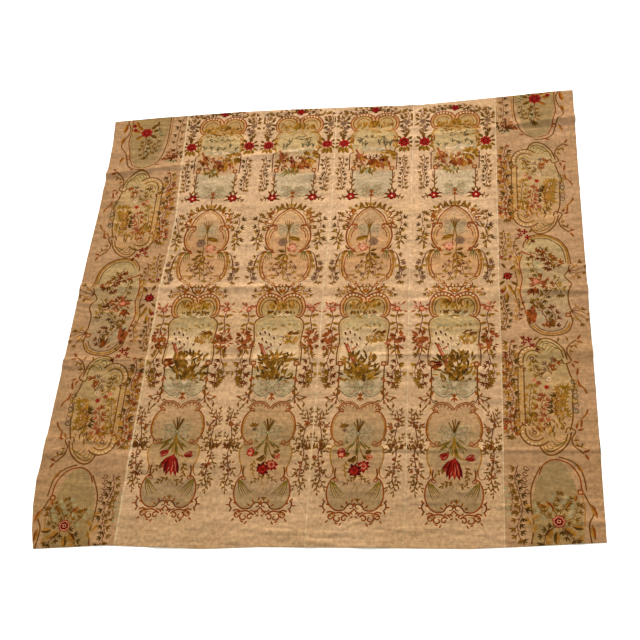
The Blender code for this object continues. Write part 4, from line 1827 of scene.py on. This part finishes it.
def inlay(outlines, points):
    """Cuts the first outline into triangles along every other one.

    Gives the points, the triangles and, for each triangle, the last outline that holds it.
    """
    places = [Vector(place) for place in np.concatenate([*outlines, points])]
    edges, start = [], 0
    for outline in outlines:
        count = len(outline)
        edges += [(start + index, start + (index + 1) % count) for index in range(count)]
        start += count
    found = delaunay_2d_cdt(places, edges, [], 0, UPPER_MERGE)
    points, triangles = np.array(found[0]), np.array(found[2])
    tops = last_outline(outlines, points[triangles].mean(axis=1))
    triangles, tops = triangles[tops >= 0], tops[tops >= 0]
    used, renumbered = np.unique(triangles, return_inverse=True)
    return points[used], renumbered.reshape(-1, 3), tops


def last_outline(outlines, places):
    """For each place, the index of the last outline round it, or -1 for one outside the first."""
    order = np.argsort(places[:, 1])
    across, along = places[order].T
    tops = np.full(len(places), -1)
    for index, outline in enumerate(outlines):
        start, end = np.searchsorted(along, (outline[:, 1].min(), outline[:, 1].max()))
        x, y = across[start:end], along[start:end]
        inside = np.zeros(end - start, bool)
        for (x0, y0), (x1, y1) in zip(outline, np.roll(outline, -1, axis=0)):
            if y0 != y1:
                inside ^= ((y0 > y) != (y1 > y)) & (x < x0 + (y - y0) * (x1 - x0) / (y1 - y0))
        if index:
            inside &= tops[start:end] >= 0
        tops[start:end][inside] = index
    found = np.empty_like(tops)
    found[order] = tops
    return found


def border_loop(triangles):
    """The indices round the outside of a set of triangles, anticlockwise."""
    edges = {(int(t[i]), int(t[(i + 1) % 3])) for t in triangles for i in range(3)}
    after = {a: b for a, b in edges if (b, a) not in edges}
    start = min(after)
    loop, at = [start], after[start]
    while at != start:
        loop.append(at)
        at = after[at]
    return loop


def back_triangles(loop_points, points):
    """Plain triangles inside the loop. Their first points are the loop's own, in its order."""
    places = [Vector(place) for place in np.concatenate([loop_points, points])]
    found = delaunay_2d_cdt(places, [], [list(range(len(loop_points)))], 1, BACK_MERGE)
    order = {old: new for new, old in enumerate(origin[0] for origin in found[3])}
    back = np.zeros((len(places), 2))
    renumber = {}
    for new, origins in enumerate(found[3]):
        back[origins[0]] = found[0][new]
        renumber[new] = origins[0]
    if len(order) != len(places):
        raise RuntimeError("two points of the cloth's back fell together")
    return back, np.array([[renumber[index] for index in triangle] for triangle in found[2]])


class Surface:
    """The heights and slopes of one strip's upper side."""

    def __init__(self, strip, cloth):
        self.strip = strip
        self.cloth = cloth

    def dip(self, x, y):
        """How much lower the cloth is at its seams and cut ends."""
        left, right = self.strip["sides"]
        near = np.minimum(x - side_at(left, y, 1), side_at(right, y, -1) - x)
        near = np.minimum(near, np.minimum(read_table(TOP_END, x) - y, y - read_table(BOTTOM_END, x)))
        return self.cloth.seam_dip * ease_down(np.maximum(near, 0), self.cloth.seam_reach)

    def heights(self, x, y):
        """How high the upper side is."""
        return underside(x, y, self.cloth.ripple) + self.cloth.thickness - self.dip(x, y)

    def normals(self, x, y, step=0.0008):
        """Unit vectors square to the cloth."""
        across = (self.heights(x + step, y) - self.heights(x - step, y)) / (2 * step)
        along = (self.heights(x, y + step) - self.heights(x, y - step)) / (2 * step)
        found = np.stack([-across, -along, np.ones_like(x)], axis=1)
        return found / np.linalg.norm(found, axis=1)[:, None]


# A deep fold's height, how much paler its crest is (rubbed wear and a painted highlight) and how much darker
# its hollow is (painted shade), and their half widths in metres.
DEEP_FOLD = 0.016
CREST_WEAR_AND_HIGHLIGHT = 0.10
CREST_HALF = 0.007
HOLLOW_PAINTED_SHADE = 0.07
HOLLOW_HALF = 0.012


def wear_and_fold_shade(x, y):
    """Painted shade along the folds: a fold's crest is paler, partly from rubbed wool and partly as a painted
    highlight, and the hollow beside it is darker with painted shade.
    """
    shade = np.ones_like(x)
    for fold in FOLDS:
        away = y - read_table(fold["line"], x)
        depth = read_table(fold["rise"], x) / DEEP_FOLD
        # Paler crest: rubbed wear and a painted highlight.
        shade += CREST_WEAR_AND_HIGHLIGHT * depth * hump(away / CREST_HALF)
        # Darker hollow at the fold's foot: painted shade.
        shade -= HOLLOW_PAINTED_SHADE * depth * hump((away + fold["below"]) / HOLLOW_HALF)
    return shade


def corner_colours(points, triangles, shapes, work, ground):
    """The wool's colour at every corner of every triangle, times the painted highlights and shade of the
    folds.
    """
    firsts = np.array([tone[0] for tone in work.tones])
    seconds = np.array([tone[1] for tone in work.tones])
    starts = np.array([tone[2] for tone in work.tones])
    alongs = np.array([tone[3] for tone in work.tones])
    places = points[triangles]
    share = np.clip(
        np.einsum("tcd,td->tc", places - starts[shapes][:, None], alongs[shapes]),
        0, 1
    )[..., None]
    colours = firsts[shapes][:, None] * (1 - share) + seconds[shapes][:, None] * share
    colours[shapes < 0] = ground
    # Multiplies in the painted highlight and shade of the folds, with their wear.
    return colours * wear_and_fold_shade(places[..., 0], places[..., 1])[..., None]


def cloth_mesh(strip, work, ground, cloth):
    """A closed thin sheet: inlaid upper side, plain underside and the walls between them."""
    outline = strip_outline(strip)
    points, upper, tops = inlay(
        [outline, *work.outlines],
        resting_points(strip, cloth.detail, margin=cloth.detail / 3)
    )
    shapes = np.concatenate([[-1], work.shape_of]).astype(int)[tops]
    loop = border_loop(upper)
    inner = resting_points(strip, cloth.detail * BACK_COARSER, margin=cloth.detail / 2)
    back, lower = back_triangles(points[loop], inner)
    surface = Surface(strip, cloth)
    heights = np.concatenate([surface.heights(*points.T), underside(*back.T, cloth.ripple)])
    vertices = np.column_stack([np.concatenate([points, back]), heights])
    first_back = len(points)
    walls = []
    for index, here in enumerate(loop):
        after = (index + 1) % len(loop)
        walls.append([first_back + index, first_back + after, loop[after], here])
    faces = [*upper.tolist(), *(lower[:, ::-1] + first_back).tolist(), *walls]
    mesh = bpy.data.meshes.new(strip["node"] + "_needlepoint")
    mesh.from_pydata(vertices.tolist(), [], faces)
    paint(mesh, corner_colours(points, upper, shapes, work, ground))
    shade_smoothly(mesh, surface, points, upper, len(walls))
    return mesh


def paint(mesh, colours):
    """Stores the wool colours on the upper side and the canvas colour elsewhere."""
    layer = mesh.color_attributes.new("wool", "FLOAT_COLOR", "CORNER")
    values = np.ones((len(mesh.loops), 4))
    values[:, :3] = linear(WOOLS["canvas"][0])
    values[: colours.shape[0] * 3, :3] = colours.reshape(-1, 3)
    layer.data.foreach_set("color", values.ravel())
    slots = np.ones(len(mesh.polygons), np.int32)
    slots[: len(colours)] = 0
    mesh.polygons.foreach_set("material_index", slots)


def shade_smoothly(mesh, surface, points, upper, wall_count):
    """Gives the upper side the exact slopes of the cloth, and leaves its walls flat."""
    mesh.polygons.foreach_set("use_smooth", np.ones(len(mesh.polygons), bool))
    normals = np.zeros((len(mesh.loops), 3))
    normals[:, 2] = -1.0
    normals[: upper.size] = surface.normals(*points.T)[upper.ravel()]
    for polygon in list(mesh.polygons)[len(mesh.polygons) - wall_count :]:
        normals[polygon.loop_start : polygon.loop_start + polygon.loop_total] = polygon.normal
    mesh.normals_split_custom_set(normals.tolist())


# --- Materials ---


def add_node(tree, kind, inputs, **settings):
    """One shader node. Each input takes a constant or the socket of another node."""
    node = tree.nodes.new(kind)
    for name, value in settings.items():
        setattr(node, name, value)
    for name, value in inputs.items():
        if isinstance(value, bpy.types.NodeSocket):
            tree.links.new(value, node.inputs[name])
        else:
            node.inputs[name].default_value = value
    return node


def tinted(tree, colour, low, high, share):
    """The colour times a tint from low to high, each a grey or a colour, chosen by a share from 0 to 1."""
    low, high = (np.broadcast_to(np.asarray(tint, float), 3) for tint in (low, high))
    values = {0: share, 1: tuple(high - low), 2: tuple(low)}
    tint = add_node(tree, "ShaderNodeVectorMath", values, operation="MULTIPLY_ADD").outputs["Vector"]
    values = {0: colour, 1: tint}
    return add_node(tree, "ShaderNodeVectorMath", values, operation="MULTIPLY").outputs["Vector"]


def new_material(name, roughness, specular):
    """A material, with its node tree and its shader."""
    material = bpy.data.materials.new(name)
    material.use_nodes = True
    shader = material.node_tree.nodes["Principled BSDF"]
    shader.inputs["Roughness"].default_value = roughness
    shader.inputs["Specular IOR Level"].default_value = specular
    return material, material.node_tree, shader


def checks(tree, place, side, tones, joint_width, joint_blur, offset):
    """A grid of small squares, each between the first two of three greys, with joints of the third."""
    dark, light, joint = ((tone, tone, tone, 1.0) for tone in tones)
    values = {
        "Vector": place, "Color1": dark, "Color2": light, "Mortar": joint, "Scale": 1.0,
        "Mortar Size": joint_width, "Mortar Smooth": joint_blur, "Brick Width": side, "Row Height": side
    }
    return add_node(tree, "ShaderNodeTexBrick", values, offset=offset)


def noise(tree, place, scale, detail):
    """Soft noise from 0 to 1. scale is how many blots there are to the metre, or (across, along)."""
    if isinstance(scale, tuple):
        stretched = add_node(tree, "ShaderNodeMapping", {"Vector": place, "Scale": (*scale, 1.0)})
        place, scale = stretched.outputs["Vector"], 1.0
    values = {"Vector": place, "Scale": scale, "Detail": detail}
    return add_node(tree, "ShaderNodeTexNoise", values).outputs["Fac"]


# The dark joint round a stitch as a share of the stitch, and the canvas mesh and the hole in it, in metres.
JOINT_SHARE = 0.08
CANVAS_MESH = 0.004
CANVAS_HOLE = 0.0005

# How many of each there are to the metre, as one number or (across, along): ribs 4.8 mm wide and 200 mm long,
# faded bands 37 mm wide, blots of dye of 16 mm and stains of 320 mm.
RIBS = (5.0, 210.0)
BANDS = (6.0, 27.0)
DYE_BLOTS = 62.0
STAINS = 3.1

# How far the relief of stitches and ribs stands out in metres, how strongly it shows, and how deep the joint
# round a stitch is as a share of a rib's height.
RELIEF = 0.0012
RELIEF_STRENGTH = 0.6
JOINT_DEPTH = 0.6

# How much darker and lighter each cause makes the wool or the canvas, as a tint from low to high.
STITCH_TINT = (0.90, 1.08)
RIB_TINT = (0.76, 1.24)
BAND_TINT = (0.56, 1.44)
DYE_TINT = (0.50, 1.50)
STAIN_TINT = ((0.86, 0.83, 0.70), (1.14, 1.17, 1.30))
CANVAS_TINT = (0.6, 0.8)


def wool_material(stitch):
    """Wool tent stitch on canvas: matt and slightly fuzzy, with fine ribs across the cloth and faint stains.

    The eye gets rows of small slanted stitches, threads that differ a little from their neighbours, and broad
    patches where the wool has faded. A real stitch here is about 2.2 mm; it is drawn at twice that, because
    one that small is lost at the distance the hanging is seen from.
    """
    material, tree, shader = new_material("wool_tent_stitch", roughness=0.92, specular=0.02)
    place = add_node(tree, "ShaderNodeTexCoord", {}).outputs["Object"]
    colour = add_node(tree, "ShaderNodeVertexColor", {}, layer_name="wool").outputs["Color"]
    stitches = checks(
        tree, place, stitch,
        tones=(0.0, 1.0, 0.0), joint_width=JOINT_SHARE * stitch, joint_blur=0.6, offset=0.5
    )
    ribs = noise(tree, place, RIBS, detail=3.0)
    for tint, share in (
        (STITCH_TINT, stitches.outputs["Color"]), (RIB_TINT, ribs),
        (BAND_TINT, noise(tree, place, BANDS, detail=4.0)),
        (DYE_TINT, noise(tree, place, DYE_BLOTS, detail=2.0)),
        (STAIN_TINT, noise(tree, place, STAINS, detail=3.0))
    ):
        colour = tinted(tree, colour, *tint, share)
    values = {0: stitches.outputs["Fac"], 1: -JOINT_DEPTH, 2: ribs}
    relief = add_node(tree, "ShaderNodeMath", values, operation="MULTIPLY_ADD").outputs["Value"]
    values = {"Height": relief, "Strength": RELIEF_STRENGTH, "Distance": RELIEF}
    bump = add_node(tree, "ShaderNodeBump", values)
    tree.links.new(colour, shader.inputs["Base Color"])
    tree.links.new(bump.outputs["Normal"], shader.inputs["Normal"])
    return material


def canvas_material():
    """Cotton canvas at the underside and the cut edges: pale, matt, with an open square weave."""
    material, tree, shader = new_material("cotton_canvas", roughness=0.95, specular=0.2)
    place = add_node(tree, "ShaderNodeTexCoord", {}).outputs["Object"]
    weave = checks(
        tree, place, CANVAS_MESH,
        tones=(0.72, 1.0, 0.4), joint_width=CANVAS_HOLE, joint_blur=0.1, offset=0.0
    )
    colour = tinted(tree, linear(WOOLS["canvas"][0]), *CANVAS_TINT, weave.outputs["Color"])
    tree.links.new(colour, shader.inputs["Base Color"])
    return material


def floor_material(colour):
    """Matt seamless paper: near white, so that only the cloth's soft shadow shows on it."""
    material, _, shader = new_material("seamless_paper", roughness=0.9, specular=0.1)
    shader.inputs["Base Color"].default_value = (*colour, 1.0)
    return material


# --- Operators ---


def materials_of(cloth):
    """The wool and the canvas, made once."""
    wool = bpy.data.materials.get("wool_tent_stitch") or wool_material(cloth.stitch)
    canvas = bpy.data.materials.get("cotton_canvas") or canvas_material()
    return wool, canvas


# The bare canvas at a seam: from where to where it runs and how far apart its corners are, in metres, how
# uneven its width is, and how far it laps over the strip's edge, in metres.
SEAM_FROM_TO = (-1.32, 1.33)
SEAM_STEP = 0.014
SEAM_UNEVEN = (0.7, 1.3)
SEAM_LAP = 0.001


def seam_canvas(work, strip):
    """Bare canvas showing in an uneven line along the seams of a strip."""
    middle = strip["middle"]
    for side, inward in zip(strip["sides"], (1, -1)):
        width = SEAM_CANVAS.get(side, 0.0)
        if not width:
            continue
        y = np.arange(*SEAM_FROM_TO, SEAM_STEP)
        edge = side_at(side, y, inward)
        inner = [x + inward * width * work.chance.uniform(*SEAM_UNEVEN) * MM for x in edge]
        outer = edge - inward * SEAM_LAP
        for row in range(len(y) - 1):
            corners = [
                (outer[row], y[row]), (inner[row], y[row]), (inner[row + 1], y[row + 1]),
                (outer[row + 1], y[row + 1])
            ]
            work.patch([((px - middle) / MM, py / MM) for px, py in corners], "canvas", rounded=False)


def build_strip(scene, design, stitched, ground):
    """Makes one strip as a sheet that stands for its CAD node."""
    strip = next(row for row in STRIPS if row["node"] == design["node"])
    wools = {name: tuple(getattr(scene.needlepoint_wools, name)) for name in WOOLS}
    work = Needlework(strip["middle"], wools, strip["seed"])
    stitched(work, design)
    seam_canvas(work, strip)
    mesh = cloth_mesh(strip, work, np.array(wools[ground]), scene.needlepoint_cloth)
    for material in materials_of(scene.needlepoint_cloth):
        mesh.materials.append(material)
    piece = bpy.data.objects.new(strip["node"] + "_needlepoint", mesh)
    scene.collection.objects.link(piece)
    declare_sheet(piece, strip)


def declare_sheet(piece, strip):
    """Hangs the piece from the root body and hides the CAD node it stands for."""
    outline = strip_outline(strip)
    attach(piece, "root")
    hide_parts(strip["node"])


class NEEDLEPOINT_OT_middle_strips(bpy.types.Operator):
    """Builds the four middle strips with their cartouches, bouquets and sprigs"""

    bl_idname = "needlepoint.middle_strips"
    bl_label = "Middle strips"

    def execute(self, context):
        for design in MIDDLE_DESIGNS:
            build_strip(context.scene, design, middle_strip, "ground")
        return {"FINISHED"}


class NEEDLEPOINT_OT_borders(bpy.types.Operator):
    """Builds the left and right borders with their panels and vines"""

    bl_idname = "needlepoint.borders"
    bl_label = "Borders"

    def execute(self, context):
        for design in BORDER_DESIGNS:
            build_strip(context.scene, design, border, "border_ground")
        return {"FINISHED"}


# How far the floor lies under the cloth, so that the two share no face.
FLOOR_GAP = 0.0002

# Where each light stands and what it points at, in metres, and how wide the window's light is, in degrees.
LAMP_FROM_TO = ((0.15, 0.95, 1.9), (0.15, 0.75, 0.0))
WINDOW_FROM_TO = ((-1.2, 5.0, 2.9), (0.0, 0.0, 0.0))
WINDOW_SPREAD = 24

# Where the camera looks, in metres and degrees. It is in front of the lower end and a little to the right.
CAMERA = {
    "target": (-0.0131, -0.1345, 0.0), "distance": 5.1812, "azimuth": 13.8285, "elevation": 56.7178,
    "roll": -11.8137, "lens": 61.875
}


def place_camera(scene):
    """A camera without depth of field that looks at the middle of the cloth."""
    azimuth, elevation, roll = (math.radians(CAMERA[name]) for name in ("azimuth", "elevation", "roll"))
    back = Vector(
        (
            math.sin(azimuth) * math.cos(elevation), -math.cos(azimuth) * math.cos(elevation),
            math.sin(elevation)
        )
    )
    right = Vector((math.cos(azimuth), math.sin(azimuth), 0.0))
    up = back.cross(right)
    across = math.cos(roll) * right + math.sin(roll) * up
    upward = math.cos(roll) * up - math.sin(roll) * right
    data = bpy.data.cameras.new("camera")
    data.lens = CAMERA["lens"]
    camera = bpy.data.objects.new("camera", data)
    placing = Matrix((across, upward, back)).transposed().to_4x4()
    placing.translation = Vector(CAMERA["target"]) + back * CAMERA["distance"]
    camera.matrix_world = placing
    scene.collection.objects.link(camera)
    scene.camera = camera


def add_floor(scene, side, colour):
    """A square of pale paper just under the cloth."""
    half = side / 2
    mesh = bpy.data.meshes.new("floor")
    mesh.from_pydata(
        [(-half, -half, 0), (half, -half, 0), (half, half, 0), (-half, half, 0)],
        [], [(0, 1, 2, 3)]
    )
    mesh.materials.append(floor_material(colour))
    floor = bpy.data.objects.new("floor", mesh)
    floor.location.z = -FLOOR_GAP
    scene.collection.objects.link(floor)


def add_light(scene, stage):
    """Even light from the sky, a soft lamp over the upper end and a low soft light from beyond it."""
    world = bpy.data.worlds.new("studio")
    world.use_nodes = True
    sky = world.node_tree.nodes["Background"]
    sky.inputs["Color"].default_value = (*stage.sky_colour, 1.0)
    sky.inputs["Strength"].default_value = stage.sky_strength
    scene.world = world
    lamp = add_lamp(scene, "soft_lamp", "AREA", stage.lamp_power, *LAMP_FROM_TO)
    lamp.size = stage.lamp_side
    lamp.color = stage.lamp_colour
    window = add_lamp(scene, "window", "SUN", stage.window_strength, *WINDOW_FROM_TO)
    window.angle = math.radians(WINDOW_SPREAD)
    window.color = stage.sky_colour


def add_lamp(scene, name, kind, energy, at, towards):
    """One light of this kind, pointed at a place."""
    data = bpy.data.lights.new(name, kind)
    data.energy = energy
    lamp = bpy.data.objects.new(name, data)
    lamp.location = at
    lamp.rotation_euler = (Vector(towards) - lamp.location).to_track_quat("-Z", "Y").to_euler()
    scene.collection.objects.link(lamp)
    return data


class NEEDLEPOINT_OT_stage(bpy.types.Operator):
    """Adds the floor, the light and the camera"""

    bl_idname = "needlepoint.stage"
    bl_label = "Stage"

    def execute(self, context):
        scene = context.scene
        stage = scene.needlepoint_stage
        add_floor(scene, stage.floor_side, stage.floor_colour)
        add_light(scene, stage)
        place_camera(scene)
        scene.view_settings.view_transform = "Standard"
        return {"FINISHED"}


class NEEDLEPOINT_PT_panel(bpy.types.Panel):
    """Lists what this file builds"""

    bl_idname = "NEEDLEPOINT_PT_panel"
    bl_label = "Needlepoint hanging"
    bl_space_type = "VIEW_3D"
    bl_region_type = "UI"
    bl_category = "Needlepoint"

    def draw(self, context):
        for step in STEPS:
            self.layout.operator(step.bl_idname)
        for settings in SETTINGS:
            group = getattr(context.scene, settings)
            for name in group.__annotations__:
                self.layout.prop(group, name)


STEPS = (NEEDLEPOINT_OT_stage, NEEDLEPOINT_OT_middle_strips, NEEDLEPOINT_OT_borders)
SETTINGS = {
    "needlepoint_cloth": ClothSettings, "needlepoint_wools": WoolColours, "needlepoint_stage": StageSettings
}
CLASSES = (*SETTINGS.values(), *STEPS, NEEDLEPOINT_PT_panel)


def register():
    """Makes the classes and their settings known."""
    for kind in CLASSES:
        bpy.utils.register_class(kind)
    for name, kind in SETTINGS.items():
        setattr(bpy.types.Scene, name, bpy.props.PointerProperty(type=kind))


def unregister():
    """Takes the settings and the classes away again."""
    for name in SETTINGS:
        delattr(bpy.types.Scene, name)
    for kind in reversed(CLASSES):
        bpy.utils.unregister_class(kind)


def main():
    """Builds all the pieces and the stage."""
    register()
    bpy.ops.needlepoint.stage()
    bpy.ops.needlepoint.middle_strips()
    bpy.ops.needlepoint.borders()


if __name__ == "__main__":
    main()
